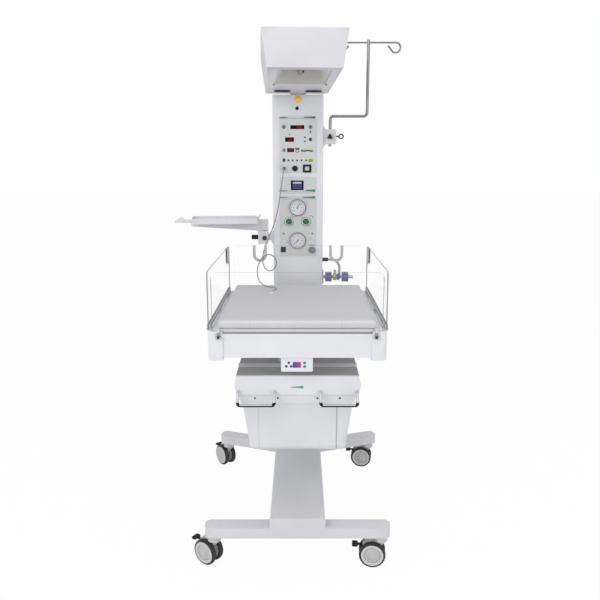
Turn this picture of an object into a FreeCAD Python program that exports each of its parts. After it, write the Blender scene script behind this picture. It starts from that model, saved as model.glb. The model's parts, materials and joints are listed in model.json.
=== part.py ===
# Infant radiant warmer: castor base, column with control panels, heater hood, tilting bed, drawer,
# monitor shelf, infusion pole and gas fittings.
# Millimetres. X points to the nurse's right, Y from the front to the back, Z up from the floor.
# Sizes are worked from the front bar's centre line (X = 0, Y = 0); origin_x and origin_y then move
# every piece so that the origin is the middle of the footprint.
import FreeCAD, Part
import Sketcher
import math
import os
import re
from FreeCAD import Placement, Rotation, Vector

SIZES = {
    # where the origin lies
    "origin_x": -54.0,
    "origin_y": 476.0,
    # castors
    "wheel_radius": 50.0,
    "wheel_width": 19.0,
    "wheel_gap": 21.0,
    "castor_trail": 31.0,
    "axle_radius": 4.0,
    "stem_radius": 5.5,
    "castor_height": 124.6,
    "running_fit": 0.06,
    "play": 0.4,
    # base frame
    "base_width": 690.0,
    "base_front": -5.0,
    "leg_depth": 62.0,
    "leg_underside": 125.0,
    "leg_height": 42.0,
    "spine_width": 205.0,
    "spine_height": 82.0,
    "spine_length": 945.0,
    "spine_wall": 6.0,
    "front_stem_x": "=base_width / 2 - 33",
    "rear_stem_x": 346.0,
    "rear_stem_y": "=base_front + spine_length - 90",
    "rear_splay": 20.0,
    "stem_to_leg_end": 34.0,
    # column
    "column_width": 228.0,
    "column_front": 825.0,
    "column_depth": 110.0,
    "column_top": 1776.0,
    "column_wall": 4.0,
    "panel_width": 166.0,
    "panel_sheet": 3.0,
    "module_depth": 60.0,
    "control_low": 1442.0,
    "control_high": 1690.0,
    "monitor_low": 1356.0,
    "monitor_high": 1424.0,
    "gas_low": 1063.0,
    "gas_high": 1340.0,
    "switch_row": 1461.0,
    "gauge_x": -2.0,
    "airway_z": 1286.0,
    "suction_z": 1135.0,
    "gauge_radius": 36.0,
    "gauge_stand": 10.0,
    "knob_row": 1222.0,
    "flow_knob_x": 39.0,
    "lamp_z": 1760.5,
    "lamp_radius": 14.0,
    "dot_x": -4.0,
    "dot_z": 1723.0,
    "dot_radius": 7.5,
    # hood
    "hood_turn": 3.5,
    "hood_front": 300.0,
    "hood_edge": 777.0,
    "hood_rear": 950.0,
    "hood_top_front": 1963.0,
    "hood_top_rear": 1945.0,
    "hood_low_front": 1825.0,
    "hood_low_edge": 1783.0,
    "hood_floor": 1797.0,
    "hood_width_top": 312.0,
    "hood_width_low": 280.0,
    "hood_wall": 4.0,
    "recess_width": 198.0,
    "recess_front": 345.0,
    "recess_rear": 581.0,
    "recess_top": 1885.0,
    "reflector_sheet": 1.5,
    "heater_radius": 7.0,
    "turret_radius": 36.0,
    "turret_pin": 20.0,
    # bed
    "bed_width": 628.0,
    "bed_front": 40.0,
    "bed_length": 750.0,
    "bed_low": 809.0,
    "bed_high": 897.0,
    "bed_wall": 4.0,
    "deck_high": "=bed_high + 8",
    "post_size": 54.0,
    "post_proud": 4.6,
    "post_low": "=bed_low - 10",
    "post_corner": 24.0,
    "mattress_width": "=bed_width - 48",
    "mattress_front": "=bed_front + 24",
    "mattress_length": "=bed_length - 55",
    "mattress_thick": 36.0,
    "tilt_y": "=bed_front + bed_length / 2",
    "tilt_z": "=bed_low - 24",
    "tilt_shaft": 8.0,
    "ear_radius": 14.0,
    # clear panels
    "clear_sheet": 5.0,
    "panel_top": 1115.0,
    "side_panel_x": "=bed_width / 2 + 2.5",
    "side_panel_front": "=bed_front + 20",
    "side_panel_rear": "=bed_front + bed_length - 10",
    "panel_corner": 22.0,
    "notch_width": 50.0,
    "notch_depth": 67.0,
    "side_notch_y": 715.0,
    "rear_notch_x": 175.0,
    "rear_panel_y": "=bed_front + bed_length - 4.5",
    "rear_panel_width": "=bed_width - 34",
    "front_panel_y": "=bed_front + 8",
    "front_panel_width": "=bed_width - 22",
    "channel_wall": 2.5,
    "side_hinge_x": "=bed_width / 2 + 11",
    "side_hinge_z": "=bed_high + 2",
    "front_hinge_y": "=bed_front - 10",
    "front_hinge_z": "=bed_high - 11",
    "hinge_pin": 2.0,
    "hinge_barrel": 4.5,
    "front_clip_x": "=bed_width / 2 - 36",
    # weighing display
    "display_width": 114.0,
    "display_front": 45.0,
    "display_depth": 35.0,
    "display_low": 756.0,
    # support arm and cabinet
    "arm_width": 120.0,
    "arm_low": 724.0,
    "arm_height": 33.0,
    "arm_front": 380.0,
    "cabinet_front": 100.0,
    "cabinet_depth": 540.0,
    "cabinet_width": 452.0,
    "cabinet_low": 646.0,
    "cabinet_top": 721.0,
    "top_sheet": 3.0,
    "cabinet_wall": 3.0,
    "cabinet_waist": 38.0,
    "cabinet_bulge": 8.0,
    "drawer_front_sheet": 14.0,
    "bin_width_top": "=cabinet_width - 45",
    "bin_width_low": "=cabinet_width - 109",
    "bin_low": 433.0,
    "bin_depth": 500.0,
    "bin_wall": 3.0,
    "band_low": 612.0,
    "band_width": "=cabinet_width - 20",
    "handle_span": 134.0,
    "handle_x": "=cabinet_width / 2 - 74",
    "handle_reach": 45.0,
    "handle_drop": 38.0,
    "handle_rod": 6.0,
    # shelf
    "shelf_post_x": -161.0,
    "shelf_post_y": 850.0,
    "shelf_post_radius": 7.8,
    "shelf_turn": 7.0,
    "shelf_z": 1217.0,
    "tray_left": -326.0,
    "tray_right": -29.0,
    "tray_front": -85.0,
    "tray_rear": 85.0,
    "tray_wall": 2.5,
    "tray_rim": 24.0,
    "lever_left": -402.6,
    "shelf_clamp_z": 1148.0,
    # infusion pole
    "pole_x": 145.0,
    "pole_y": 850.0,
    "pole_radius": 6.6,
    "pole_low": 1558.0,
    "pole_elbow": 1691.0,
    "pole_bend": 16.0,
    "pole_reach": 165.0,
    "pole_top": 2003.0,
    "hook_radius": 4.2,
    "hook_half": 140.8,
    "hook_loop": 21.0,
    "hook_tail": 26.5,
    "pole_tip": 12.0,
    "pole_clamp_z": 1600.0,
    # gas fittings
    "manifold_z": 960.0,
    "manifold_y": 850.0,
    "lobe_radius": 24.0,
    "hose_radius": 5.5,
    # skin probe
    "probe_x": -63.0,
    "probe_radius": 2.0,
}

doc = FreeCAD.newDocument("RadiantWarmer")
sheet = doc.addObject("Spreadsheet::Sheet", "Sizes")
for row, (alias, value) in enumerate(SIZES.items(), 1):
    sheet.set("A%d" % row, alias)
    sheet.set("B%d" % row, str(value))
    sheet.setAlias("B%d" % row, alias)
doc.recompute()


def size(alias):
    """A driving dimension as a number, for shapes that are worked out in code."""
    return float(getattr(sheet, alias))


def bound(text):
    """An expression in which each driving dimension points at its cell."""
    return re.sub(r"[a-z_]+", lambda word: "Sizes." + word.group() if word.group() in SIZES else word.group(),
                  str(text))


def bind(item, **values):
    """Ties properties of an object to expressions; a double underscore stands for a dot."""
    for key, text in values.items():
        item.setExpression(key.replace("__", "."), bound(text))


def block(x, y, z):
    """A box between two expressions along each axis."""
    item = doc.addObject("Part::Box", "Block")
    bind(item, Length="(%s) - (%s)" % (x[1], x[0]), Width="(%s) - (%s)" % (y[1], y[0]),
         Height="(%s) - (%s)" % (z[1], z[0]))
    bind(item, Placement__Base__x=x[0], Placement__Base__y=y[0], Placement__Base__z=z[0])
    return item


def frustum(low, high):
    """A box whose sides lean; each level is (z, left, right, front, back)."""
    item = doc.addObject("Part::Wedge", "Frustum")
    item.Placement = Placement(Vector(), Rotation(Vector(1, 0, 0), 90))
    bind(item, Ymin=low[0], Xmin=low[1], Xmax=low[2], Zmin="-(%s)" % low[4], Zmax="-(%s)" % low[3])
    bind(item, Ymax=high[0], X2min=high[1], X2max=high[2], Z2min="-(%s)" % high[4], Z2max="-(%s)" % high[3])
    return item


AXIS_TURN = {
    "X": Rotation(Vector(0, 1, 0), 90),
    "Y": Rotation(Vector(1, 0, 0), -90),
    "Z": Rotation(),
}


def rod(axis, x, y, z, radius, length):
    """A round bar that starts at a point and runs along +axis."""
    item = doc.addObject("Part::Cylinder", "Rod")
    item.Placement = Placement(Vector(), AXIS_TURN[axis])
    bind(item, Radius=radius, Height=length)
    bind(item, Placement__Base__x=x, Placement__Base__y=y, Placement__Base__z=z)
    return item


def taper(axis, x, y, z, radius, end_radius, length):
    """A cone that starts at a point and runs along +axis."""
    item = doc.addObject("Part::Cone", "Taper")
    item.Placement = Placement(Vector(), AXIS_TURN[axis])
    bind(item, Radius1=radius, Radius2=end_radius, Height=length)
    bind(item, Placement__Base__x=x, Placement__Base__y=y, Placement__Base__z=z)
    return item


def fuse(*pieces):
    item = doc.addObject("Part::MultiFuse", "Joined")
    item.Shapes = list(pieces)
    item.Refine = True
    return item


def cut(base, *tools):
    item = doc.addObject("Part::Cut", "Cut")
    item.Base = base
    item.Tool = tools[0] if len(tools) == 1 else fuse(*tools)
    item.Refine = True
    return item


def group(*pieces):
    item = doc.addObject("Part::Compound", "Group")
    item.Links = list(pieces)
    return item


def along(edge, axis):
    """True for a straight edge that runs along a world axis."""
    ends = [vertex.Point for vertex in edge.Vertexes]
    if len(ends) != 2 or edge.Curve.TypeId != "Part::GeomLine":
        return False
    way = (ends[1] - ends[0]).normalize()
    return abs(way["XYZ".index(axis)]) > 0.999


def soften(base, radius, test):
    """Rounds the edges that pass a test, with a radius from the sheet."""
    doc.recompute()
    numbers = [number for number, edge in enumerate(base.Shape.Edges, 1) if test(edge)]
    item = doc.addObject("Part::Fillet", "Rounded")
    item.Base = base
    item.Edges = [(number, radius, radius) for number in numbers]
    return item


class Profile:
    """A PartDesign body whose sketches are closed outlines with every corner bound to the sheet."""

    def __init__(self):
        self.body = doc.addObject("PartDesign::Body", "Body")

    def plane(self, role):
        return [item for item in self.body.Origin.OriginFeatures if item.Role == role][0]

    def outline(self, role, offset, corners):
        sketch = self.body.newObject("Sketcher::SketchObject", "Outline")
        sketch.AttachmentSupport = [(self.plane(role), "")]
        sketch.MapMode = "FlatFace"
        sketch.setExpression("AttachmentOffset.Base.z", bound(offset))
        count = len(corners)
        spread = [Vector(10 * math.cos(2 * math.pi * n / count), 10 * math.sin(2 * math.pi * n / count), 0)
                  for n in range(count)]
        for n in range(count):
            sketch.addGeometry(Part.LineSegment(spread[n], spread[(n + 1) % count]), False)
        for n in range(count):
            sketch.addConstraint(Sketcher.Constraint("Coincident", n, 2, (n + 1) % count, 1))
        for n, (across, up) in enumerate(corners):
            for kind, text in (("DistanceX", across), ("DistanceY", up)):
                index = sketch.addConstraint(Sketcher.Constraint(kind, -1, 1, n, 1, 1.0))
                sketch.setExpression("Constraints[%d]" % index, bound(text))
        return sketch

    def pad(self, sketch, length, middle=False):
        item = self.body.newObject("PartDesign::Pad", "Pad")
        item.Profile = sketch
        item.Midplane = middle
        bind(item, Length=length)
        return item

    def loft(self, sections, kind="AdditiveLoft"):
        item = self.body.newObject("PartDesign::" + kind, "Loft")
        item.Profile = sections[0]
        item.Sections = sections[1:]
        item.Ruled = True
        return item

    def spin(self, sketch, kind="Revolution"):
        item = self.body.newObject("PartDesign::" + kind, "Spin")
        item.Profile = sketch
        item.ReferenceAxis = (sketch, ["V_Axis"])
        item.Angle = 360
        return item

    def round(self, radius, test, kind="Fillet"):
        doc.recompute()
        base = self.body.Tip
        names = ["Edge%d" % number for number, edge in enumerate(base.Shape.Edges, 1) if test(edge)]
        item = self.body.newObject("PartDesign::" + kind, kind)
        item.Base = (base, names)
        bind(item, **{"Radius" if kind == "Fillet" else "Size": radius})
        return item


def rounded_path(points, radius=None):
    """Straight runs joined by tangent arcs; a free cord's arcs are as large as its runs allow."""
    edges = []
    start = points[0]
    radii = []
    for before, corner, after in zip(points, points[1:], points[2:]):
        run_in = corner - before
        run_out = after - corner
        turn = run_in.getAngle(run_out)
        reach = 0.45 * min(run_in.Length, run_out.Length)
        bend = reach / math.tan(turn / 2)
        if radius is not None:
            bend = min(radius, bend)
            reach = bend * math.tan(turn / 2)
        radii.append(bend)
        way_in = Vector(run_in).normalize()
        way_out = Vector(run_out).normalize()
        first = corner - way_in * reach
        last = corner + way_out * reach
        inward = (way_out - way_in).normalize()
        centre = corner + inward * (bend / math.cos(turn / 2))
        middle = centre - inward * bend
        if (first - start).Length > 1e-6:
            edges.append(Part.LineSegment(start, first).toShape())
        edges.append(Part.Arc(first, middle, last).toShape())
        start = last
    edges.append(Part.LineSegment(start, points[-1]).toShape())
    return Part.Wire(edges), radii


def tube(points, radius, bend=None):
    """A round tube or cord along a rounded path."""
    path, radii = rounded_path([Vector(*point) for point in points], bend)
    way = path.Edges[0].tangentAt(path.Edges[0].FirstParameter)
    ring = Part.Wire([Part.makeCircle(radius, path.Edges[0].valueAt(path.Edges[0].FirstParameter), way)])
    sweep = Part.BRepOffsetAPI.MakePipeShell(path)
    sweep.add(ring)
    sweep.setTransitionMode(1)
    sweep.build()
    sweep.makeSolid()
    item = doc.addObject("Part::Feature", "Tube")
    item.Shape = sweep.shape()
    return item, path.Length, radii


PARTS = {}


def keep(label, item, turn=None, about=(0.0, 0.0)):
    """Names a finished piece; a turned piece is built straight and turned about an upright line."""
    if item.TypeId in ("Part::Box", "Part::Cylinder"):
        item = group(item)
    item.Label = label
    shift = Vector(-size("origin_x"), -size("origin_y"), 0)
    if turn is None:
        item.Placement = Placement(shift, Rotation())
    else:
        spot = Vector(about[0], about[1], 0)
        item.Placement = Placement(shift + spot, Rotation(Vector(0, 0, 1), turn))
    PARTS[label] = item
    return item


def both(name):
    """The two ends of a width that lies equally about X = 0."""
    return ("-(%s) / 2" % name, "(%s) / 2" % name)


# Base frame: front bar, hollow spine and two splayed rear legs, welded into one piece
def make_base():
    leg_high = "leg_underside + leg_height"
    bar = block(both("base_width"), ("base_front", "base_front + leg_depth"), ("leg_underside", leg_high))
    bar = soften(bar, size("leg_depth") * 0.36, lambda edge: along(edge, "Z"))
    spine_high = "leg_underside + spine_height"
    spine = block(both("spine_width"), ("base_front", "base_front + spine_length"), ("leg_underside", spine_high))
    spine = soften(spine, 9, lambda edge: along(edge, "Y") and edge.CenterOfMass.z > size("leg_underside") + 10)
    hollow = block(("-spine_width / 2 + spine_wall", "spine_width / 2 - spine_wall"),
                   ("base_front + leg_depth", "base_front + spine_length - spine_wall"),
                   ("leg_underside - 1", spine_high + " - spine_wall"))
    spine = cut(spine, hollow)
    legs = []
    bores = []
    for side in (-1, 1):
        leg = block(("-rear_stem_x * 0.9", "stem_to_leg_end"), ("-leg_depth / 2", "leg_depth / 2"),
                    ("leg_underside", leg_high))
        leg = soften(leg, size("leg_depth") * 0.36,
                     lambda edge: along(edge, "Z") and edge.CenterOfMass.x > 0)
        turn = size("rear_splay") if side > 0 else 180 - size("rear_splay")
        leg.Placement = Placement(Vector(), Rotation(Vector(0, 0, 1), turn))
        bind(leg, Placement__Base__x="rear_stem_x * %d" % side, Placement__Base__y="rear_stem_y")
        inside = block(("0", "rear_stem_x") if side < 0 else ("-rear_stem_x", "0"),
                       ("rear_stem_y - 400", "rear_stem_y + 400"), ("leg_underside - 1", leg_high + " + 1"))
        legs.append(cut(leg, inside))
        for x, y in (("front_stem_x * %d" % side, "base_front + leg_depth / 2"),
                     ("rear_stem_x * %d" % side, "rear_stem_y")):
            bores.append(rod("Z", x, y, "leg_underside - 1", "stem_radius + running_fit", "leg_height - 4"))
    keep("base_frame", cut(fuse(bar, spine, *legs), *bores))


# One twin-wheel castor with a foot brake; built with its stem on Z and its wheels trailing to -X
def make_castor(tag, x, y, turn):
    spot = (x, y)
    half_web = "wheel_gap / 2 - 2"
    web = Profile()
    web.pad(web.outline("XZ_Plane", "0", [
        ("22", "castor_height - 6"), ("22", "castor_height - 24"), ("-castor_trail + 20", "wheel_radius + 18"),
        ("-castor_trail + 12", "wheel_radius - 8"), ("-castor_trail - 4", "wheel_radius - 11"),
        ("-castor_trail - 16", "wheel_radius + 6"), ("-castor_trail - 36", "wheel_radius + 22"),
        ("-castor_trail - 36", "wheel_radius + 38"), ("-castor_trail - 6", "castor_height - 8")]),
        "wheel_gap - 4", middle=True)
    web.round("4", lambda edge: along(edge, "Y"))
    slot = block(("-castor_trail - 45", "-castor_trail - 14"), ("-5", "5"), ("wheel_radius + 16", "wheel_radius + 46"))
    head = rod("Z", 0, 0, "wheel_radius * 2 + 3", 25, "castor_height - wheel_radius * 2 - 3")
    stem = rod("Z", 0, 0, "castor_height - 1", "stem_radius", "leg_height - 6")
    axle = rod("Y", "-castor_trail", "-wheel_gap / 2 - wheel_width + 2", "wheel_radius", "axle_radius",
               "wheel_gap + 2 * wheel_width - 4")
    pin = rod("Y", "-castor_trail - 27", "-(%s)" % half_web, "wheel_radius + 30", "hinge_pin", "wheel_gap - 4")
    keep("castor_%s_housing" % tag, fuse(cut(web.body, slot), head, stem, axle, pin), turn, spot)

    wheels = []
    for side in (-1, 1):
        wheel = Profile()
        inner = "wheel_gap / 2"
        outer = "wheel_gap / 2 + wheel_width"
        rim = "wheel_radius - 12"
        flip = "%d * " % side
        tyre = wheel.outline("XY_Plane", "0", [
            (rim, flip + "(%s)" % inner), ("wheel_radius - 3", flip + "(%s)" % inner),
            ("wheel_radius", flip + "(%s + 4)" % inner), ("wheel_radius", flip + "(%s - 5)" % outer),
            ("wheel_radius - 4", flip + "(%s)" % outer), (rim, flip + "(%s)" % outer)])
        wheel.spin(tyre)
        hub = Profile()
        disc = hub.outline("XY_Plane", "0", [
            ("axle_radius + running_fit", flip + "(%s + 1)" % inner), (rim, flip + "(%s + 1)" % inner),
            (rim, flip + "(%s - 1)" % outer), ("wheel_radius * 0.58", flip + "(%s + 1)" % outer),
            ("wheel_radius * 0.5", flip + "(%s - 2)" % outer), ("wheel_radius * 0.3", flip + "(%s - 1.5)" % outer),
            ("axle_radius + running_fit", flip + "(%s - 1)" % outer)])
        hub.spin(disc)
        wheels += [wheel.body, hub.body]
    pair = group(*wheels)
    bind(pair, Placement__Base__x="-castor_trail", Placement__Base__z="wheel_radius")
    keep("castor_%s_wheels" % tag, group(pair), turn, spot)

    pivot_x = "-castor_trail - 27"
    pivot_z = "wheel_radius + 30"
    boss = rod("Y", pivot_x, "-4.4", pivot_z, "5.5", "8.8")
    neck = block(("-castor_trail - 58", pivot_x), ("-4.4", "4.4"), (pivot_z + " - 3", pivot_z + " + 3"))
    paddle = block(("-castor_trail - 76", "-castor_trail - 54"), ("-15", "15"), (pivot_z + " - 4", pivot_z + " + 4"))
    paddle = soften(paddle, 3.5, lambda edge: along(edge, "Z") or along(edge, "Y"))
    bore = rod("Y", pivot_x, "-6", pivot_z, "hinge_pin + running_fit", "12")
    keep("castor_%s_pedal" % tag, cut(fuse(boss, neck, paddle), bore), turn, spot)


# Column: folded sheet channel with openings for the modules, closed by a vented back cover
def make_column():
    z = ("leg_underside + spine_height", "column_top")
    rear = "column_front + column_depth"
    shell = block(both("column_width"), ("column_front", rear), z)
    shell = soften(shell, 7, lambda edge: along(edge, "Z") and edge.CenterOfMass.y < size("column_front") + 10)
    hollow = block(("-column_width / 2 + column_wall", "column_width / 2 - column_wall"),
                   ("column_front + column_wall", rear + " + 1"), (z[0] + " + column_wall", "column_top - column_wall"))
    openings = []
    for name in ("control", "monitor", "gas"):
        openings.append(block(("-panel_width / 2 + 5", "panel_width / 2 - 5"), ("column_front - 1", "column_front + 20"),
                              (name + "_low + 3", name + "_high - 3")))
    lamp_hole = rod("Y", 0, "column_front - 1", "lamp_z", 9.3, 20)
    dot_hole = rod("Y", "dot_x", "column_front - 1", "dot_z", "dot_radius - 2", 20)
    keep("column_shell", cut(shell, hollow, lamp_hole, dot_hole, *openings))
    cover = block(("-column_width / 2 + column_wall + 1", "column_width / 2 - column_wall - 1"),
                  (rear + " - 4", rear), (z[0] + " + column_wall + 1", "column_top - column_wall - 1"))
    lips = [block((a, b), (rear + " - 18", rear + " - 4"), (z[0] + " + 30", "column_top - 30"))
            for a, b in (("-column_width / 2 + column_wall", "-column_width / 2 + column_wall + 4"),
                         ("column_width / 2 - column_wall - 4", "column_width / 2 - column_wall"))]
    slots = [block(("-55", "55"), (rear + " - 5", rear + " + 1"),
                   ("column_top - 90 - %d" % (14 * n), "column_top - 84 - %d" % (14 * n))) for n in range(8)]
    keep("column_back_cover", cut(fuse(cover, *lips), *slots))


# A module is a face sheet with a box behind it that slips through the column's opening
def module_case(name, *holes):
    face = block(both("panel_width"), ("column_front - panel_sheet", "column_front"), (name + "_low", name + "_high"))
    face = soften(face, 3, lambda edge: along(edge, "Y"))
    case = block(("-panel_width / 2 + 6", "panel_width / 2 - 6"), ("column_front", "column_front + module_depth"),
                 (name + "_low + 4", name + "_high - 4"))
    inside = block(("-panel_width / 2 + 7", "panel_width / 2 - 7"),
                   ("column_front + 0.5", "column_front + module_depth + 1"), (name + "_low + 5", name + "_high - 5"))
    return cut(fuse(face, cut(case, inside)), *holes)


def panel_recess(x, z, width, height, depth=1):
    face = "column_front - panel_sheet"
    return block(("%s - %s / 2" % (x, width), "%s + %s / 2" % (x, width)), (face + " - 1", face + " + %s" % depth),
                 ("%s - %s / 2" % (z, height), "%s + %s / 2" % (z, height)))


def panel_hole(x, z, radius):
    return rod("Y", x, "column_front - panel_sheet - 1", z, radius, "panel_sheet + 3")


def make_modules():
    face = "column_front - panel_sheet"
    windows = [panel_recess(-3, "control_high - 47", 64, 24), panel_recess(-38, "control_high - 102", 40, 20),
               panel_recess(-33, "control_high - 148", 32, 18)]
    holes = [panel_hole("probe_x", "switch_row", "7"), panel_hole(-14, "switch_row", "10.3"),
             panel_recess(41, "switch_row", 30.6, 28.6, 5)]
    control = module_case("control", *(windows + holes))
    monitor = module_case("monitor", panel_recess(-3.5, "(monitor_low + monitor_high) / 2 - 4", 59, 44))

    gauge_holes = [panel_hole("gauge_x", z, "gauge_radius - 3.7") for z in ("airway_z", "suction_z")]
    knob_holes = [panel_hole("%d * flow_knob_x - 3" % side, "knob_row", "4.3") for side in (-1, 1)]
    port_holes = [panel_recess(-68, "gas_low + 30", 15.6, 16.6, 5), panel_hole(65, "gas_low + 27", 9.3)]
    gas = module_case("gas", *(gauge_holes + knob_holes + port_holes))
    keep("control_modules", group(control, monitor, gas))

    cases = []
    lenses = []
    for z in ("airway_z", "suction_z"):
        front = face + " - gauge_stand"
        flange = rod("Y", "gauge_x", front, z, "gauge_radius", "gauge_stand")
        flange = soften(flange, 2, lambda edge: edge.CenterOfMass.y < size("column_front") - size("panel_sheet") - 1)
        barrel = rod("Y", "gauge_x", face, z, "gauge_radius - 4", "34")
        recess = rod("Y", "gauge_x", front + " - 1", z, "gauge_radius - 5", "6")
        pin = rod("Y", "gauge_x", front + " + 1.6", z, "1", "4")
        cases.append(fuse(cut(fuse(flange, barrel), recess), pin))
        lenses.append(rod("Y", "gauge_x", front, z, "gauge_radius - 5", "1.2"))
    keep("gauge_dials", group(*cases))
    keep("gauge_lenses", group(*lenses))

    for name, z, turn in (("airway_needle", "airway_z", 25), ("suction_needle", "suction_z", -135)):
        needle = Profile()
        blade = needle.outline("XZ_Plane", "0", [
            ("-1.6", "-7"), ("1.6", "-7"), ("1.2", "4"), ("0.4", "gauge_radius - 10"), ("-0.4", "gauge_radius - 10"),
            ("-1.2", "4")])
        needle.pad(blade, "0.9", middle=True)
        boss = rod("Y", 0, "-0.8", 0, 3, 1.6)
        bore = rod("Y", 0, "-3", 0, "1 + running_fit", 6)
        arrow = cut(fuse(needle.body, boss), bore)
        arrow.Placement = Placement(Vector(), Rotation(Vector(0, 1, 0), turn))
        bind(arrow, Placement__Base__x="gauge_x", Placement__Base__y=face + " - gauge_stand + 3",
             Placement__Base__z=z)
        keep(name, group(arrow))

    sockets = []
    sockets.append(cut(rod("Y", -14, face + " - 4", "switch_row", 12.5, 4),
                       rod("Y", -14, face + " - 5", "switch_row", 7, 4.5)))
    sockets.append(rod("Y", -14, face, "switch_row", 10, 20))
    sockets.append(cut(rod("Y", "probe_x", face, "switch_row", 6.8, 16),
                       rod("Y", "probe_x", face + " - 1", "switch_row", "4.1", 10)))
    frame = block(("22", "60"), (face + " - 3", face), ("switch_row - 17.5", "switch_row + 17.5"))
    frame = soften(frame, 2, lambda edge: along(edge, "Y"))
    tub = block(("26", "56"), (face, face + " + 14"), ("switch_row - 13.5", "switch_row + 13.5"))
    well = block(("28", "54"), (face + " - 4", face + " + 11"), ("switch_row - 12", "switch_row + 12"))
    sockets.append(cut(fuse(frame, tub), well))
    sockets[-1] = fuse(sockets[-1], rod("X", 28, face, "switch_row", "1.5", 26))
    square = block(("-79.5", "-56.5"), (face + " - 3", face), ("gas_low + 18", "gas_low + 42"))
    square = soften(square, 2, lambda edge: along(edge, "Y"))
    sockets.append(fuse(square, block(("-75.5", "-60.5"), (face, face + " + 12"), ("gas_low + 22", "gas_low + 38"))))
    port_z = "gas_low + 27"
    sockets.append(cut(fuse(rod("Y", 65, face + " - 5", port_z, 14, 5), rod("Y", 65, face, port_z, 9, 20)),
                       rod("Y", 65, face + " - 6", port_z, 6.5, 18)))
    sockets.append(fuse(rod("Y", "dot_x", "column_front - 2", "dot_z", "dot_radius", 2),
                        rod("Y", "dot_x", "column_front", "dot_z", "dot_radius - 2.3", 9)))
    for side in (-1, 1):
        plate = rod("Y", "%d * flow_knob_x - 3" % side, face + " - 2", "knob_row", 21, 2)
        spindle = rod("Y", "%d * flow_knob_x - 3" % side, face + " - 20", "knob_row", "4", "40")
        sockets.append(fuse(plate, spindle))
    keep("panel_fittings", group(*sockets))

    for name, side in (("flow_knob_left", -1), ("flow_knob_right", 1)):
        knob = Profile()
        grip = knob.outline("XY_Plane", "0", [
            ("4 + running_fit", "3"), ("12.5", "3"), ("12.5", "6"), ("10.5", "8"), ("9.5", "22"), ("7.5", "24"),
            ("0", "24"), ("0", "20.5"), ("4 + running_fit", "20.5")])
        knob.spin(grip)
        spot = group(knob.body)
        spot.Placement = Placement(Vector(), Rotation(Vector(0, 0, 1), 180))
        bind(spot, Placement__Base__x="%d * flow_knob_x - 3" % side, Placement__Base__y=face, Placement__Base__z="knob_row")
        flutes = [rod("Y", "%d * flow_knob_x - 3 + 11.6 * cos(%d)" % (side, 45 * n), face + " - 25",
                      "knob_row + 11.6 * sin(%d)" % (45 * n), 2.2, 17) for n in range(8)]
        keep(name, cut(spot, *flutes))

    rocker = Profile()
    side_view = rocker.outline("YZ_Plane", "0", [
        ("3", "-11"), ("-4.5", "-11"), ("-2", "0"), ("-4.5", "11"), ("3", "11"), ("7", "0")])
    rocker.pad(side_view, "24", middle=True)
    bored = cut(rocker.body, rod("X", -15, 0, 0, "1.5 + running_fit", 30))
    bored.Placement = Placement(Vector(), Rotation(Vector(1, 0, 0), 6))
    bind(bored, Placement__Base__x="41", Placement__Base__y=face, Placement__Base__z="switch_row")
    keep("rocker_switch", group(bored))

    dome = doc.addObject("Part::Sphere", "Dome")
    bind(dome, Radius="lamp_radius")
    bind(dome, Placement__Base__y="column_front + 3", Placement__Base__z="lamp_z")
    inside = block(("-20", "20"), ("column_front", "column_front + 30"), ("lamp_z - 20", "lamp_z + 20"))
    collar = rod("Y", 0, "column_front - 3", "lamp_z", "lamp_radius + 1", 3)
    foot = rod("Y", 0, "column_front", "lamp_z", 9, 15)
    keep("alarm_lamp", fuse(cut(dome, inside), collar, foot))


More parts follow.
